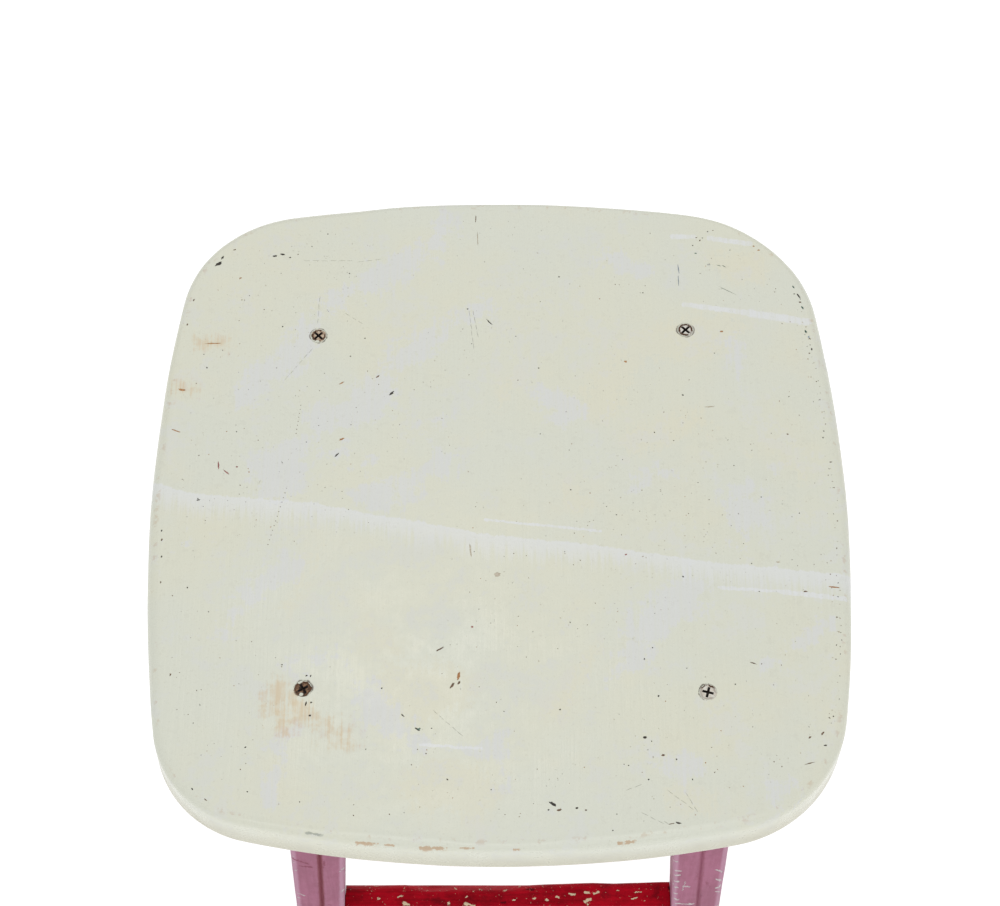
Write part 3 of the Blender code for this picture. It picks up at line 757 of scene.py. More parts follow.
def leg_paint():
    paint = Paint("mauve_leg_paint")
    colour, fleck, brush, mottle = timber_brushing(paint, MAUVE_DARK, MAUVE_LIGHT)
    # Painted shade in the groove, strongest on the left-hand legs and least on the right-hand ones
    hollow = paint.total(paint.attribute("hollow"), paint.spread(fleck, 0.0006))
    shade_weight = paint.remap(paint.axis(paint.point, "X"), -0.02, 0.02, 0.92, 0.30)
    groove_shade = paint.remap(hollow, 0.0011, 0.0024, 1.0, 0.0)
    colour = paint.over(colour, MAUVE_GROOVE_SHADE, groove_shade, shade_weight)
    arris = paint.attribute("arris")
    # Painted highlight along the arrises
    arris_highlight = paint.remap(paint.total(arris, paint.spread(fleck, 0.0009)), 0.0004, 0.0022, 0.60, 0.0)
    colour = paint.mix(arris_highlight, colour, MAUVE_ARRIS_HIGHLIGHT)
    # Old crimson shows in scuffs, and cream undercoat where the paint has chipped
    upright = paint.ragged(paint.stretched(1.0, 0.0, 1.0), 0.0044, 620.0)
    upright = paint.vector("MULTIPLY", upright, (1.0, 0.0, 1.0))
    front = paint.product(
        paint.remap(paint.axis(paint.normal, "Y"), -0.85, -0.65, 1.0, 0.0),
        paint.remap(paint.axis(paint.point, "Y"), -0.01, 0.01, 1.0, 0.0),
    )
    scuffs = paint.product(paint.strokes(upright, LEG_SCUFFS, 0.5, upright=True), front)
    thin = paint.remap(paint.noise(paint.stretched(1.0, 1.0, 0.35), 130.0, 5.0, 0.7), 0.64, 0.70)
    scuffs = paint.math("MAXIMUM", scuffs, paint.product(thin, 0.6))
    colour = paint.over(colour, CRIMSON, scuffs, 0.8)
    chips = paint.product(paint.strokes(upright, LEG_CHIPS, 0.5, upright=True), front)
    knocks = paint.noise(paint.stretched(0.6, 0.6, 1.0), 190.0, 5.0, 0.68)
    near = paint.remap(arris, 0.0005, 0.0035, 0.0, 0.16)
    chips = paint.math("MAXIMUM", chips, paint.remap(paint.math("SUBTRACT", knocks, near), 0.60, 0.625))
    colour = paint.over(colour, UNDERCOAT, chips, 0.80)
    # Nearly all the paint is gone from the feet's lowest edge
    foot = paint.total(paint.axis(paint.point, "Z"), paint.spread(fleck, 0.003))
    colour = paint.mix(paint.remap(foot, 0.0010, 0.0028, 0.9, 0.0), colour, BARE_TIMBER)
    paint.set("Base Color", colour)
    paint.set("Roughness", paint.remap(mottle, 0.3, 0.7, 0.50, 0.66))
    paint.set("Specular IOR Level", 0.22)
    relief = paint.total(brush, mottle, paint.product(chips, -1.6))
    paint.bump(relief, 0.00016)
    return paint.material


def rail_paint():
    paint = Paint("red_rail_paint")
    colour, _, brush, mottle = timber_brushing(paint, RED_DARK, RED_LIGHT)
    arris = paint.attribute("arris")
    grime = paint.remap(paint.noise(paint.point, 75.0, 5.0, 0.65), 0.58, 0.72)
    colour = paint.over(colour, RED_GRIME, grime, 0.55)
    flat = paint.ragged(paint.stretched(1.0, 1.0, 0.0), 0.0036, 420.0)
    flat = paint.vector("MULTIPLY", flat, (1.0, 1.0, 0.0))
    # Dark spots on the rail's top
    dark_spots = paint.strokes(flat, RAIL_DARK_SPOTS, 0.4)
    colour = paint.over(colour, RED_GRIME, dark_spots, 0.85)
    chips = paint.strokes(flat, RAIL_CHIPS, 0.30)
    knocks = paint.noise(paint.point, 230.0, 5.0, 0.70)
    near = paint.remap(arris, 0.0008, 0.0060, 0.0, 0.13)
    chips = paint.math("MAXIMUM", chips, paint.remap(paint.math("SUBTRACT", knocks, near), 0.635, 0.655))
    specks = paint.remap(paint.noise(paint.point, 800.0, 2.0, 0.5), 0.69, 0.73, 0.0, 0.7)
    chips = paint.math("MAXIMUM", chips, specks)
    colour = paint.over(colour, RAIL_UNDERCOAT, chips, 0.90)
    paint.set("Base Color", colour)
    paint.set("Roughness", paint.remap(mottle, 0.3, 0.7, 0.40, 0.58))
    paint.set("Specular IOR Level", 0.10)
    relief = paint.total(brush, mottle, paint.product(chips, -1.6))
    paint.bump(relief, 0.00016)
    return paint.material


def screw_metal(leg, centre, head_radius):
    """A painted or rusty screw, its rim dirty, and any dab of cream paint on it."""
    _, dark, light, rust, back_rust, lap = SCREWS[leg]
    edge = head_radius - lap
    paint = Paint(f"screw_{leg}_metal")
    grain = paint.noise(paint.point, 620.0, 4.0, 0.7)
    fleck = paint.noise(paint.point, 330.0, 3.0, 0.6)
    colour = paint.mix(paint.remap(grain, 0.38, 0.62), dark, light)
    offset = paint.vector("SUBTRACT", paint.point, centre)
    offset = paint.vector("MULTIPLY", offset, (1.0, 1.0, 0.0))
    distance = paint.vector("LENGTH", offset, (0.0,) * 3, "Value")
    reach = paint.total(distance, paint.spread(fleck, 0.0010))
    rim = paint.product(
        paint.remap(reach, edge - 0.0012, edge - 0.0008), paint.remap(fleck, 0.36, 0.50)
    )
    at_back = paint.remap(paint.axis(offset, "Y"), 0.35 * edge, 0.70 * edge, rust, max(rust, back_rust))
    colour = paint.mix(paint.product(rim, at_back), colour, SCREW_RUST)
    colour = paint.mix(paint.remap(reach, edge - 0.0001, edge + 0.0001, 0.0, 0.92), colour, CREAM)
    flat = paint.vector("MULTIPLY", paint.ragged(paint.point, 0.0012, 500.0), (1.0, 1.0, 0.0))
    dabs = paint.strokes(flat, SCREW_DABS, 0.3)
    colour = paint.over(colour, CREAM, dabs, 0.9)
    paint.set("Base Color", colour)
    paint.set("Roughness", paint.remap(grain, 0.3, 0.7, 0.45, 0.75))
    paint.set("Specular IOR Level", 0.2)
    paint.bump(grain, 0.00012)
    return paint.material


# ---------------------------------------------------------------- the seat board


def cad_outline():
    """The widest ring of the CAD seat, anticlockwise, drawn through again as a smooth curve."""
    points = vertices_of(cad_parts["seat"].data)
    level = points[:, 2].min() + SIDE_LEVEL
    ring = np.unique(np.round(points[np.abs(points[:, 2] - level) < 1e-5][:, :2], 5), axis=0)
    ring = ring[np.argsort(np.arctan2(ring[:, 1], ring[:, 0]))]
    before, after, far = np.roll(ring, 1, 0), np.roll(ring, -1, 0), np.roll(ring, -2, 0)
    curve = []
    for step in range(OUTLINE_STEPS):
        t = step / OUTLINE_STEPS
        curve.append(
            0.5 * (2.0 * ring + (after - before) * t
                   + (2.0 * before - 5.0 * ring + 4.0 * after - far) * t**2
                   + (3.0 * ring - before - 3.0 * after + far) * t**3)
        )
    return np.stack(curve, axis=1).reshape(-1, 2)


def outward(loop):
    """Unit normals of an anticlockwise loop."""
    along = np.roll(loop, -1, 0) - np.roll(loop, 1, 0)
    along /= np.linalg.norm(along, axis=1, keepdims=True)
    return np.stack([along[:, 1], -along[:, 0]], axis=1)


def edge_profile(bottom, top, top_radius):
    """(inset, height) up the board's edge, from the underside's rim to the top's."""
    rows = []
    for step in range(ROUND_STEPS + 1):
        turn = 0.5 * math.pi * step / ROUND_STEPS
        rows.append((BOTTOM_RADIUS * (1 - math.sin(turn)), bottom + BOTTOM_RADIUS * (1 - math.cos(turn))))
    low, high = bottom + BOTTOM_RADIUS, top - TOP_RADIUS_WORN
    for step in range(1, SIDE_STEPS):
        rows.append((0.0, low + (high - low) * step / SIDE_STEPS))
    for step in range(ROUND_STEPS + 1):
        turn = 0.5 * math.pi * step / ROUND_STEPS
        rows.append((top_radius * (1 - math.cos(turn)), top - top_radius * (1 - math.sin(turn))))
    return rows


def circle(centre, radius, steps=HOLE_STEPS):
    turns = np.arange(steps) * 2.0 * math.pi / steps
    return centre + radius * np.stack([np.cos(turns), np.sin(turns)], axis=1)


def chip_loop(x, y, length, width, turn, rng, steps):
    """A ragged oval in millimetres, as points in metres."""
    angles = np.arange(steps) * 2.0 * math.pi / steps
    reach = 1.0 + rng.uniform(-0.28, 0.28, steps)
    oval = np.stack([0.5 * length * np.cos(angles), 0.5 * width * np.sin(angles)], axis=1) * reach[:, None]
    turn = math.radians(turn)
    spin = np.array([[math.cos(turn), math.sin(turn)], [-math.sin(turn), math.cos(turn)]])
    return (oval @ spin + (x, y)) * MM


def shrunk(loop, rim):
    """The loop drawn in towards its middle by about this much."""
    middle = loop.mean(axis=0)
    reach = np.linalg.norm(loop - middle, axis=1, keepdims=True)
    return middle + (loop - middle) * np.maximum(1.0 - rim / reach, LEAST_FLOOR)


def seat_marks(outline, centres):
    """Every chip, pit, prick, scratch and speck, as (loop, kind)."""
    rng = np.random.default_rng(MARKS_SEED)
    marks = [
        (chip_loop(x, y, length, width, turn, rng, 9 + int(2 * length)), kind)
        for x, y, length, width, turn, kind in CHIPS
    ]
    for x, y in PITS:
        size = rng.uniform(0.7, 1.15)
        marks.append((chip_loop(x, y, size, size * 0.8, rng.uniform(0, 180), rng, 8), "dark"))
    for x, y, length, turn in SCRATCHES:
        pieces = max(2, int(length / 4.0))
        for index in range(pieces):
            offset = (index + 0.5) / pieces - 0.5
            bend = turn + rng.uniform(-4.0, 4.0)
            place_x = x + offset * length * math.cos(math.radians(turn)) + rng.uniform(-0.1, 0.1)
            place_y = y + offset * length * math.sin(math.radians(turn)) + rng.uniform(-0.1, 0.1)
            marks.append((chip_loop(place_x, place_y, length / pieces * 0.8, 0.22, bend, rng, 10), "faint"))
    for (x, y), (end_x, end_y), count in PRICKS:
        for index in range(count):
            part = index / count
            place = (x + (end_x - x) * part, y + (end_y - y) * part)
            marks.append((chip_loop(*place, 0.62, 0.56, 0, rng, 7), "brown"))
    reach = outline.max(axis=0) / MM
    made = 0
    while made < SPECKS:
        x, y = rng.uniform(-1.0, 1.0, 2) * reach * 0.95
        busy = lattice_noise(np.array([[x, y, 0.0]]) * MM, 0.045, 8)[0]
        if abs(x / reach[0]) ** 4 + abs(y / reach[1]) ** 4 > 0.82 or busy < rng.uniform(-0.6, 0.9):
            continue
        size = rng.uniform(0.25, 0.85) * rng.uniform(0.7, 1.0)
        kind = SPECK_KINDS[rng.choice(len(SPECK_KINDS), p=SPECK_SHARES)]
        marks.append((chip_loop(x, y, size, size * rng.uniform(0.5, 1.0), rng.uniform(0, 180), rng, 7), kind))
        made += 1
    # More specks along the right-hand rim
    right = outline[outline[:, 0] > RIM_SPECKS_FROM]
    for place in rng.choice(right, RIM_SPECKS):
        x, y = place / MM * (1.0 - rng.uniform(0.004, 0.010) - rng.exponential(0.010))
        size = rng.uniform(0.35, 1.0)
        kind = SPECK_KINDS[rng.choice(3)]
        marks.append((chip_loop(x, y, size, size * rng.uniform(0.5, 1.0), rng.uniform(0, 180), rng, 7), kind))
    return [mark for mark in held_inside(marks, outline) if clear_of(mark[0], centres)]


def held_inside(marks, outline):
    """The marks, those that reach the outline moved towards the middle until they don't."""
    limit = outline * (1.0 - EDGE_CLEAR / np.linalg.norm(outline, axis=1, keepdims=True))
    ends = np.cumsum([len(loop) for loop, _ in marks])[:-1]
    fits = np.split(inside(limit, np.concatenate([loop for loop, _ in marks])), ends)
    held = []
    for (loop, kind), fit in zip(marks, fits):
        while not fit.all():
            middle = loop.mean(axis=0)
            loop = loop - middle * (EDGE_CLEAR / np.linalg.norm(middle))
            fit = inside(limit, loop)
        held.append((loop, kind))
    return held


def clear_of(loop, centres):
    """Whether a mark stays off the rims of the screw holes."""
    return all(np.linalg.norm(loop - centre, axis=1).min() > SCREW_REACH + EDGE_CLEAR for centre in centres)


def flat_face(outline, holes, marks, spacing):
    """A triangulated face: its points, triangles, the kind of mark under each, and its borders."""
    low, high = outline.min(axis=0), outline.max(axis=0)
    row_step = spacing * math.sqrt(0.75)
    rows = int((high[1] - low[1]) / row_step)
    columns = int((high[0] - low[0]) / spacing)
    grid = np.array([
        (low[0] + (column + 0.5 * (row % 2)) * spacing, low[1] + row * row_step)
        for row, column in product(range(rows + 1), range(columns + 1))
    ])
    inner = outline * (1.0 - 0.6 * spacing / np.linalg.norm(outline, axis=1, keepdims=True))
    extra = [grid[inside(inner, grid)]]
    for hole in holes:
        centre = hole.mean(axis=0)
        extra += [centre + (hole - centre) * (1.0 + collar / SCREW_REACH) for collar in HOLE_COLLARS]
    loops = [outline, *holes]
    for loop, _ in marks:
        loops += [loop, shrunk(loop, CHIP_RIM)]
    points = np.concatenate([*loops, *extra])
    faces, start = [], 0
    for loop in loops:
        faces.append(list(range(start, start + len(loop))))
        start += len(loop)
    coordinates, _, triangles, sources, _, owners_of = delaunay_2d_cdt(
        [Vector(point) for point in points], [], faces, 0, 1e-7, True
    )
    kept, kinds = [], []
    for triangle, owners in zip(triangles, owners_of):
        if 0 not in owners or any(1 <= owner <= len(holes) for owner in owners):
            continue
        floor = [o for o in owners if o > len(holes) and (o - len(holes)) % 2 == 0]
        kept.append(list(triangle))
        kinds.append(marks[(floor[-1] - len(holes)) // 2 - 1][1] if floor else None)
    place = {original: index for index, source in enumerate(sources) for original in source}
    borders = [[place[i] for i in loop] for loop in faces[: 1 + len(holes)]]
    return np.array([tuple(c) for c in coordinates]), kept, kinds, borders


def distance_to_path(points, path):
    """How far each (x, y) is inside a brushed path of (x, y, half width), in metres; outside is below 0."""
    best = np.full(len(points), -np.inf)
    for start, end in zip(path, path[1:]):
        start, end = np.array(start) * MM, np.array(end) * MM
        run = end[:2] - start[:2]
        travel = np.clip((points - start[:2]) @ run / (run @ run), 0.0, 1.0)
        nearest = start[:2] + travel[:, None] * run
        width = start[2] + travel * (end[2] - start[2])
        best = np.maximum(best, width - np.linalg.norm(points - nearest, axis=1))
    return best


def add_attribute(mesh, name, values):
    mesh.attributes.new(name, "FLOAT", "POINT").data.foreach_set("value", values.astype(np.float32))


def add_places(mesh, name, places):
    stored = mesh.attributes.new(name, "FLOAT_VECTOR", "POINT")
    stored.data.foreach_set("vector", places.astype(np.float32).ravel())


def mark_seat(mesh, points, outline, centres):
    """The distances that the seat's paint is drawn with, at each point of the mesh."""
    flat = points[:, :2]
    for name, paths in (("grey", GREY_PATCHES), ("yellowing_and_highlight", YELLOWED_AND_HIGHLIGHT_PATCHES), ("stain", RUST_STAINS)):
        reach = np.max([distance_to_path(flat, path) for path in paths], axis=0)
        add_attribute(mesh, name, np.maximum(reach, -MARK_REACH))
    lap = np.array(LAP) * MM
    add_attribute(mesh, "lap", np.interp(flat[:, 0], lap[:, 0], lap[:, 1]) - flat[:, 1])
    nearest = np.min([np.linalg.norm(flat - centre, axis=1) for centre in centres], axis=0)
    add_attribute(mesh, "screw", np.minimum(nearest - SCREW_REACH, MARK_REACH))
    rim = KDTree(len(outline))
    for index, (x, y) in enumerate(outline):
        rim.insert((x, y, 0.0), index)
    rim.balance()
    inset = np.array([rim.find((x, y, 0.0))[2] for x, y in flat])
    add_attribute(mesh, "rim", np.minimum(inset, MARK_REACH) - TOP_RADIUS)


def inside(loop, points):
    """Which points are inside a loop, by counting the sides that a line to the right crosses."""
    found = np.zeros(len(points), bool)
    for (x1, y1), (x2, y2) in zip(loop, np.roll(loop, -1, 0)):
        spans = (y1 > points[:, 1]) != (y2 > points[:, 1])
        if not spans.any():
            continue
        cross = x1 + (points[:, 1] - y1) * (x2 - x1) / (y2 - y1)
        found ^= spans & (points[:, 0] < cross)
    return found


def hole_rings(centre, head_radius, bottom, top, rng):
    """Rings down a countersunk hole, from its ragged rim to the underside."""
    depth = HEAD_DEPTH + 0.0002
    shank = SHANK_RADIUS + HOLE_GAP
    ragged = 1.0 + rng.uniform(0.0, HOLE_RAGGED / head_radius, HOLE_STEPS)
    rim = circle(np.zeros(2), head_radius + HOLE_GAP) * ragged[:, None] + centre
    levels = [(None, top), (head_radius + HOLE_GAP, top - 0.0004), (shank, top - depth), (shank, bottom)]
    return [(rim if radius is None else circle(centre, radius), z) for radius, z in levels]


def put_face(shape, face, level, upward):
    """Adds a flat_face at this height, its chips sunk, and returns its borders' vertices."""
    points, triangles, kinds, borders = face
    heights = np.full(len(points), level)
    for triangle, kind in zip(triangles, kinds):
        if kind:
            heights[triangle] = level - CHIP_DEPTH
    made = [shape.verts.new((x, y, height)) for (x, y), height in zip(points, heights)]
    for triangle, kind in zip(triangles, kinds):
        corners = [made[i] for i in triangle]
        added = shape.faces.new(corners if upward else corners[::-1])
        added.material_index = 1 + list(CHIP_COLOURS).index(kind) if kind else 0
    return [[made[i] for i in border] for border in borders]


def seat_board(materials):
    low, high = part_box("seat")
    bottom, top = low.z, high.z
    outline = cad_outline()
    normals = outward(outline)
    edge_points = np.column_stack([outline, np.zeros(len(outline))])
    worn = smoothstep(0.5 + 0.9 * lattice_noise(edge_points, 0.045, 14))
    top_radius = TOP_RADIUS + (TOP_RADIUS_WORN - TOP_RADIUS) * worn
    profile = edge_profile(bottom, top, top_radius)
    rng = np.random.default_rng(3)
    holes, centres = [], []
    for leg in SCREWS:
        screw_low, screw_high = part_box(f"screw_{leg}")
        centre = np.array([(screw_low.x + screw_high.x) / 2, (screw_low.y + screw_high.y) / 2])
        centres.append(centre)
        holes.append(hole_rings(centre, (screw_high.x - screw_low.x) / 2, bottom, top, rng))
    shape = bmesh.new()

    def row(inset):
        return outline - normals * np.reshape(inset, (-1, 1))

    top_loop = row(profile[-1][0])
    marks = seat_marks(top_loop, centres)
    top_face = flat_face(top_loop, [hole[0][0] for hole in holes], marks, SEAT_SPACING)
    bottom_face = flat_face(row(profile[0][0]), [hole[-1][0] for hole in holes], [], UNDERSIDE_SPACING)
    top_borders = put_face(shape, top_face, top, True)
    bottom_borders = put_face(shape, bottom_face, bottom, False)
    rings = [bottom_borders[0]]
    for inset, height in profile[1:-1]:
        places = np.column_stack([row(inset), np.broadcast_to(height, len(outline))])
        rings.append([shape.verts.new(place) for place in places])
    rings.append(top_borders[0])
    for lower, upper in zip(rings, rings[1:]):
        bridge(shape, lower, upper)
    for index, hole in enumerate(holes):
        walls = [top_borders[index + 1]]
        for loop, height in hole[1:-1]:
            walls.append([shape.verts.new((*place, height)) for place in loop])
        walls.append(bottom_borders[index + 1])
        for upper, lower in zip(walls, walls[1:]):
            bridge(shape, upper, lower)
    shape.normal_update()
    mesh = mesh_from(shape, "seat_board")
    points = vertices_of(mesh)
    mark_seat(mesh, points, outline, centres)
    wear_seat(points, bottom, top)
    set_vertices(mesh, np.clip(points, tuple(low), tuple(high)))
    smooth(mesh)
    return add_piece("seat_board", mesh, "seat", materials)


def wear_seat(points, bottom, top):
    """Makes the flat top a little uneven and the edge a little rubbed, always inwards."""
    flat = points * (1.0, 1.0, 0.0)
    dip = 0.5 + 0.35 * lattice_noise(flat, 0.085, 11) + 0.15 * lattice_noise(flat, 0.028, 12)
    rise = smoothstep((points[:, 2] - bottom) / (top - bottom))
    points[:, 2] -= SEAT_DIP * dip * rise
    rub = 0.5 + 0.35 * lattice_noise(points, 0.022, 13) + 0.15 * lattice_noise(points, 0.006, 15)
    reach = np.linalg.norm(points[:, :2], axis=1, keepdims=True)
    points[:, :2] *= 1.0 - SEAT_RUB * rub[:, None] / np.maximum(reach, 0.05)


# ---------------------------------------------------------------- the timber


def neighbour_mean(edges, values):
    """Each vertex's mean over its neighbours of a place."""
    total = np.zeros_like(values)
    count = np.zeros(len(values))
    for a, b in ((0, 1), (1, 0)):
        np.add.at(total, edges[:, a], values[edges[:, b]])
        np.add.at(count, edges[:, a], 1.0)
    return total / np.maximum(count, 1.0)[:, None]


def cut_through(shape, place, normal):
    everything = [*shape.verts, *shape.edges, *shape.faces]
    bmesh.ops.bisect_plane(shape, geom=everything, dist=1e-6, plane_co=place, plane_no=normal)


def sliced_solid(node, long_axis):
    """The CAD solid as a bmesh, cut across and along so that it can be worn."""
    shape = bmesh.new()
    shape.from_mesh(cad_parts[node].data)
    bmesh.ops.remove_doubles(shape, verts=shape.verts, dist=1e-6)
    bmesh.ops.dissolve_limit(shape, angle_limit=math.radians(0.5), verts=shape.verts, edges=shape.edges)
    # The long faces, one plane for each direction that they face
    planes = {}
    for face in shape.faces:
        if abs(face.normal[long_axis]) < 0.3:
            key = tuple(round(part, 1) for part in face.normal)
            if key not in planes or face.calc_area() > planes[key][0]:
                planes[key] = (face.calc_area(), face.calc_center_median(), face.normal.copy())
    largest = max(area for area, _, _ in planes.values())
    low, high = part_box(node)
    along = Vector([float(axis == long_axis) for axis in range(3)])
    for place in np.arange(low[long_axis] + SLICE_LENGTH, high[long_axis], SLICE_LENGTH):
        cut_through(shape, along * place, along)
    for area, centre, normal in planes.values():
        if area > LONG_FACE * largest:
            for depth in SLICE_DEPTHS:
                cut_through(shape, centre - normal * depth, normal)
    return shape


def distance_to_edges(shape, long_axis, least_angle, side):
    """Each vertex's distance to the nearest arris (side 1) or hollow (side -1) along the timber."""
    found = []
    for edge in shape.edges:
        if len(edge.link_faces) != 2:
            continue
        angle = edge.calc_face_angle_signed()
        run = (edge.verts[1].co - edge.verts[0].co).normalized()
        if abs(run[long_axis]) > 0.9 and side * angle > least_angle:
            found += [edge.verts[0].co, edge.verts[1].co]
    if not found:
        return np.full(len(shape.verts), MARK_REACH)
    tree = KDTree(len(found))
    for index, place in enumerate(found):
        tree.insert(place, index)
    tree.balance()
    return np.array([min(tree.find(vert.co)[2], MARK_REACH) for vert in shape.verts])


def shoulders(shape, long_axis):
    """1 at each vertex that mustn't move along: on an edge that crosses the timber."""
    held = np.zeros(len(shape.verts))
    for edge in shape.edges:
        run = (edge.verts[1].co - edge.verts[0].co).normalized()
        if len(edge.link_faces) == 2 and abs(run[long_axis]) < 0.9 and edge.calc_face_angle() > SHARP_ANGLE:
            across = [abs(face.normal[long_axis]) for face in edge.link_faces]
            if max(across) > 0.9:
                held[edge.verts[0].index] = held[edge.verts[1].index] = 1.0
    return held


def reshape_front_rail(points, low, high):
    """Builds up or wears the back arris of the front rail, as far along it as RAIL_WEAR says."""
    along, out = np.array(RAIL_WEAR).T * MM
    shift = np.interp(points[:, 0], along, out)
    centre_y, centre_z = high.y - RAIL_ROUND, high.z - RAIL_ROUND
    turn = np.arctan2(points[:, 2] - centre_z, points[:, 1] - centre_y)
    reach = np.hypot(points[:, 2] - centre_z, points[:, 1] - centre_y)
    in_corner = (points[:, 1] > centre_y) & (points[:, 2] > centre_z) & (reach > 0.8 * RAIL_ROUND)
    inside_ends = (points[:, 0] > low.x + RAIL_TENON) & (points[:, 0] < high.x - RAIL_TENON)
    push = np.where(in_corner & inside_ends, shift * np.sin(2.0 * turn), 0.0)
    points[:, 1] += push * math.sqrt(0.5)
    points[:, 2] += push * math.sqrt(0.5)


def worn_timber(node, name, slot, material, long_axis, rounding, seed):
    """A CAD board or leg as a fine mesh, with its arrises worn and its faces a little uneven."""
    low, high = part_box(node)
    shape = sliced_solid(node, long_axis)
    shape.verts.index_update()
    arris = distance_to_edges(shape, long_axis, ARRIS_ANGLE[node.split("_")[0]], 1.0)
    hollow = distance_to_edges(shape, long_axis, SHARP_ANGLE, -1.0)
    held = shoulders(shape, long_axis)
    mesh = mesh_from(shape, name)
    points = vertices_of(mesh)
    edges = np.empty(len(mesh.edges) * 2, np.int32)
    mesh.edges.foreach_get("vertices", edges)
    edges = edges.reshape(-1, 2)
    rubbed = 0.30 + 0.70 * smoothstep(0.5 + lattice_noise(points, 0.016, seed))
    weight = smoothstep(1.0 - arris / ARRIS_REACH) * rubbed * (1.0 - held)
    across = np.array([float(axis != long_axis) for axis in range(3)])
    for _ in range(rounding):
        points += (neighbour_mean(edges, points) - points) * across * weight[:, None]
    if node == "rail_front":
        reshape_front_rail(points, low, high)
    normals = np.array([normal.vector for normal in mesh.vertex_normals]) * across
    broad = lattice_noise(points, 0.030, seed + 1)
    fine = lattice_noise(points, 0.009, seed + 2)
    wobble = 0.5 + 0.35 * broad + 0.15 * fine
    points -= normals * (TIMBER_WOBBLE * wobble)[:, None]
    if slot == "rail_paint" or node.startswith("apron"):
        middle = 0.5 * (low[long_axis] + high[long_axis])
        half = 0.5 * (high[long_axis] - low[long_axis])
        points[:, long_axis] = middle + (points[:, long_axis] - middle) * (1.0 + JOINT_CLOSE / half)
    set_vertices(mesh, points)
    mesh.materials.clear()
    add_attribute(mesh, "arris", arris)
    add_attribute(mesh, "hollow", hollow)
    add_places(mesh, "grain", points * (across + GRAIN_STRETCH * (1.0 - across)))
    smooth(mesh)
    return add_piece(name, mesh, node, [material])


# ---------------------------------------------------------------- the screws


def screw_radius(turn, depth, head_radius, length):
    """The screw's radius at a turn about its axis and a depth below its flat top."""
    if depth <= RIM_HEIGHT:
        return head_radius
    if depth <= HEAD_DEPTH:
        part = (depth - RIM_HEIGHT) / (HEAD_DEPTH - RIM_HEIGHT)
        return head_radius + (SHANK_RADIUS - head_radius) * part
    if depth <= THREAD_START:
        return SHANK_RADIUS
    phase = (depth / THREAD_PITCH - turn / (2.0 * math.pi)) % 1.0
    crest = max(0.0, 1.0 - abs(phase - 0.5) / 0.28)
    tip = min(1.0, (length - depth) / (2.4 * THREAD_PITCH))
    return max(0.0002, (THREAD_ROOT + (SHANK_RADIUS - THREAD_ROOT) * crest) * tip)


def cross_cutter(turn):
    """The tapered cross of the recess, its top a little above the head."""
    shape = bmesh.new()
    rings = []
    for height, arm, half_width in RECESS_RINGS:
        corner = ((arm, -half_width), (arm, half_width), (half_width, half_width))
        ring = []
        for quarter in range(4):
            angle = turn + 0.5 * math.pi * quarter
            for x, y in corner:
                place = (x * math.cos(angle) - y * math.sin(angle), x * math.sin(angle) + y * math.cos(angle))
                ring.append(shape.verts.new((*place, height)))
        rings.append(ring)
    lower, upper = rings
    bridge(shape, lower, upper)
    shape.faces.new(lower[::-1])
    shape.faces.new(upper)
    return mesh_from(shape, "cross_cutter")


def screw_body(head_radius, length):
    """A threaded screw on the Z axis, its flat head's top at 0, before its recess is cut."""
    depths = [0.0, RIM_HEIGHT, *np.linspace(CONE_START, HEAD_DEPTH, CONE_STEPS), *SHANK_DEPTHS]
    depths += list(np.arange(THREAD_START, length, THREAD_PITCH / THREAD_STEPS)) + [length]
    turns = [2.0 * math.pi * step / SCREW_STEPS for step in range(SCREW_STEPS)]
    shape = bmesh.new()
    rings = []
    for depth in depths:
        ring = []
        for turn in turns:
            radius = screw_radius(turn, depth, head_radius, length)
            ring.append(shape.verts.new((radius * math.cos(turn), radius * math.sin(turn), -depth)))
        rings.append(ring)
    for upper, lower in zip(rings, rings[1:]):
        bridge(shape, lower, upper)
    head = shape.faces.new(rings[0])
    shape.faces.new(rings[-1][::-1])
    bmesh.ops.bevel(
        shape, geom=list(head.edges), offset=HEAD_BEVEL, segments=2, affect="EDGES", profile=0.5
    )
    return mesh_from(shape, "screw_body")


def cut_mesh(mesh, cutter, name):
    """The mesh with the cutter's shape cut out of it."""
    solid, tool = add_object("solid", mesh), add_object("tool", cutter)
    cut = solid.modifiers.new("recess", "BOOLEAN")
    cut.operation = "DIFFERENCE"
    cut.solver = "EXACT"
    cut.object = tool
    graph = bpy.context.evaluated_depsgraph_get()
    result = bpy.data.meshes.new_from_object(solid.evaluated_get(graph))
    result.name = name
    for helper in (solid, tool):
        bpy.data.objects.remove(helper)
    return result


def make_screw(leg, recess_near_black):
    node = f"screw_{leg}"
    low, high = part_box(node)
    head_radius = (high.x - low.x) / 2
    cutter = cross_cutter(math.radians(SCREWS[leg][0]))
    mesh = cut_mesh(screw_body(head_radius, high.z - low.z), cutter, f"{node}_head_and_thread")
    mesh.materials.clear()
    for face in mesh.polygons:
        deep = -1.05 * RECESS_DEPTH < face.center.z < -RECESS_CLEAR
        face.material_index = int(deep and face.center.xy.length < RECESS_TOP_ARM)
    centre = Vector(((low.x + high.x) / 2, (low.y + high.y) / 2, high.z))
    mesh.transform(Matrix.Translation(centre))
    smooth(mesh)
    metal = screw_metal(leg, tuple(centre), head_radius)
    return add_piece(f"{node}_detail", mesh, node, [metal, recess_near_black])


# ---------------------------------------------------------------- stage, light and camera


def make_floor():
    shape = bmesh.new()
    bmesh.ops.create_grid(shape, x_segments=8, y_segments=8, size=6.0)
    mesh = mesh_from(shape, "floor")
    paint = Paint("floor_white")
    paint.set("Base Color", FLOOR_COLOUR)
    paint.set("Roughness", 0.9)
    paint.set("Emission Color", (1.0, 1.0, 1.0))
    paint.set("Emission Strength", FLOOR_GLOW)
    mesh.materials.append(paint.material)
    floor = add_object("floor", mesh)
    floor.location.z = cad_low.z - FLOOR_DROP


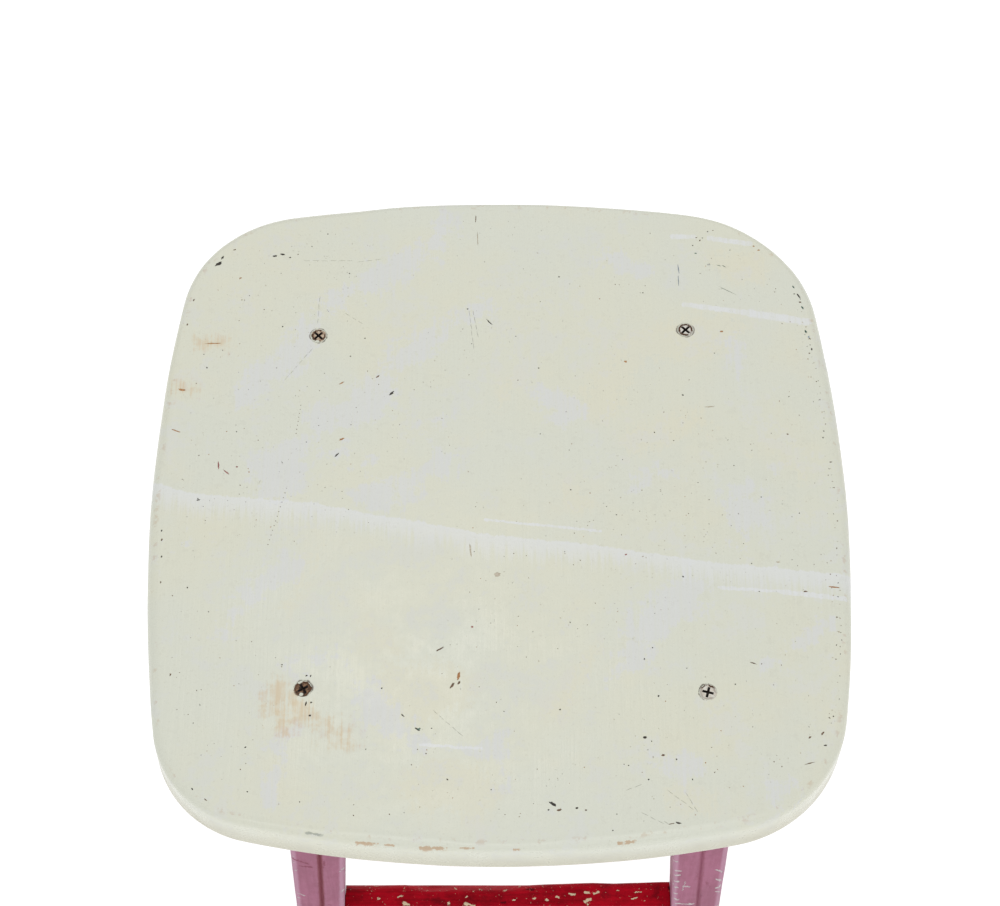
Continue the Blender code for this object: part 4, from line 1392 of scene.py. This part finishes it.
def add_light(name, place, size, power, colour=(1.0, 1.0, 1.0)):
    """A soft panel that faces the middle of the seat."""
    data = bpy.data.lights.new(name, "AREA")
    data.shape = "RECTANGLE"
    data.size, data.size_y = size
    data.energy = power
    data.color = colour
    light = add_object(name, data)
    light.location = place
    towards = Vector((0.0, 0.0, TOP)) - Vector(place)
    light.rotation_euler = towards.to_track_quat("-Z", "Y").to_euler()


def make_lights():
    for light in LIGHTS:
        add_light(*light)
    world = bpy.data.worlds.new("studio")
    bpy.context.scene.world = world
    world.use_nodes = True
    background = world.node_tree.nodes["Background"]
    background.inputs["Color"].default_value = SKY_COLOUR
    background.inputs["Strength"].default_value = SKY_STRENGTH
    bpy.context.scene.view_settings.view_transform = "Standard"


def make_camera():
    data = bpy.data.cameras.new("camera")
    data.lens = CAMERA_LENS
    data.sensor_width = CAMERA_SENSOR
    data.clip_start, data.clip_end = 0.05, 50.0
    camera = add_object("camera", data)
    camera.matrix_world = (
        Matrix.Translation(CAMERA_PLACE)
        @ Matrix.Rotation(CAMERA_TURN, 4, "Z")
        @ Matrix.Rotation(CAMERA_TILT, 4, "X")
        @ Matrix.Rotation(CAMERA_ROLL, 4, "Z")
    )
    bpy.context.scene.camera = camera


def main():
    make_camera()
    make_floor()
    make_lights()
    chips = [plain_paint(f"chip_{kind}", *colours, 0.6) for kind, colours in CHIP_COLOURS.items()]
    seat_board([seat_paint(), *chips])
    mauve, red = leg_paint(), rail_paint()
    seed = FIRST_TIMBER_SEED
    for side, hand in product(("front", "back"), ("left", "right")):
        name = f"leg_{side}_{hand}"
        worn_timber(name, f"{name}_worn", "leg_paint", mauve, 2, 3, seed)
        seed += SEEDS_PER_PIECE
    for place, long_axis in (("front", 0), ("back", 0), ("left", 1), ("right", 1)):
        for kind, slot, material, rounding in (
            ("apron", "leg_paint", mauve, 2),
            ("rail", "rail_paint", red, 3),
        ):
            name = f"{kind}_{place}"
            worn_timber(name, f"{name}_worn", slot, material, long_axis, rounding, seed)
            seed += SEEDS_PER_PIECE
    # The cross recesses are coloured near black
    recess_near_black = plain_paint("recess_near_black", RECESS_DARK, RECESS_LIGHT, 0.8)
    for leg in SCREWS:
        make_screw(leg, recess_near_black)


main()
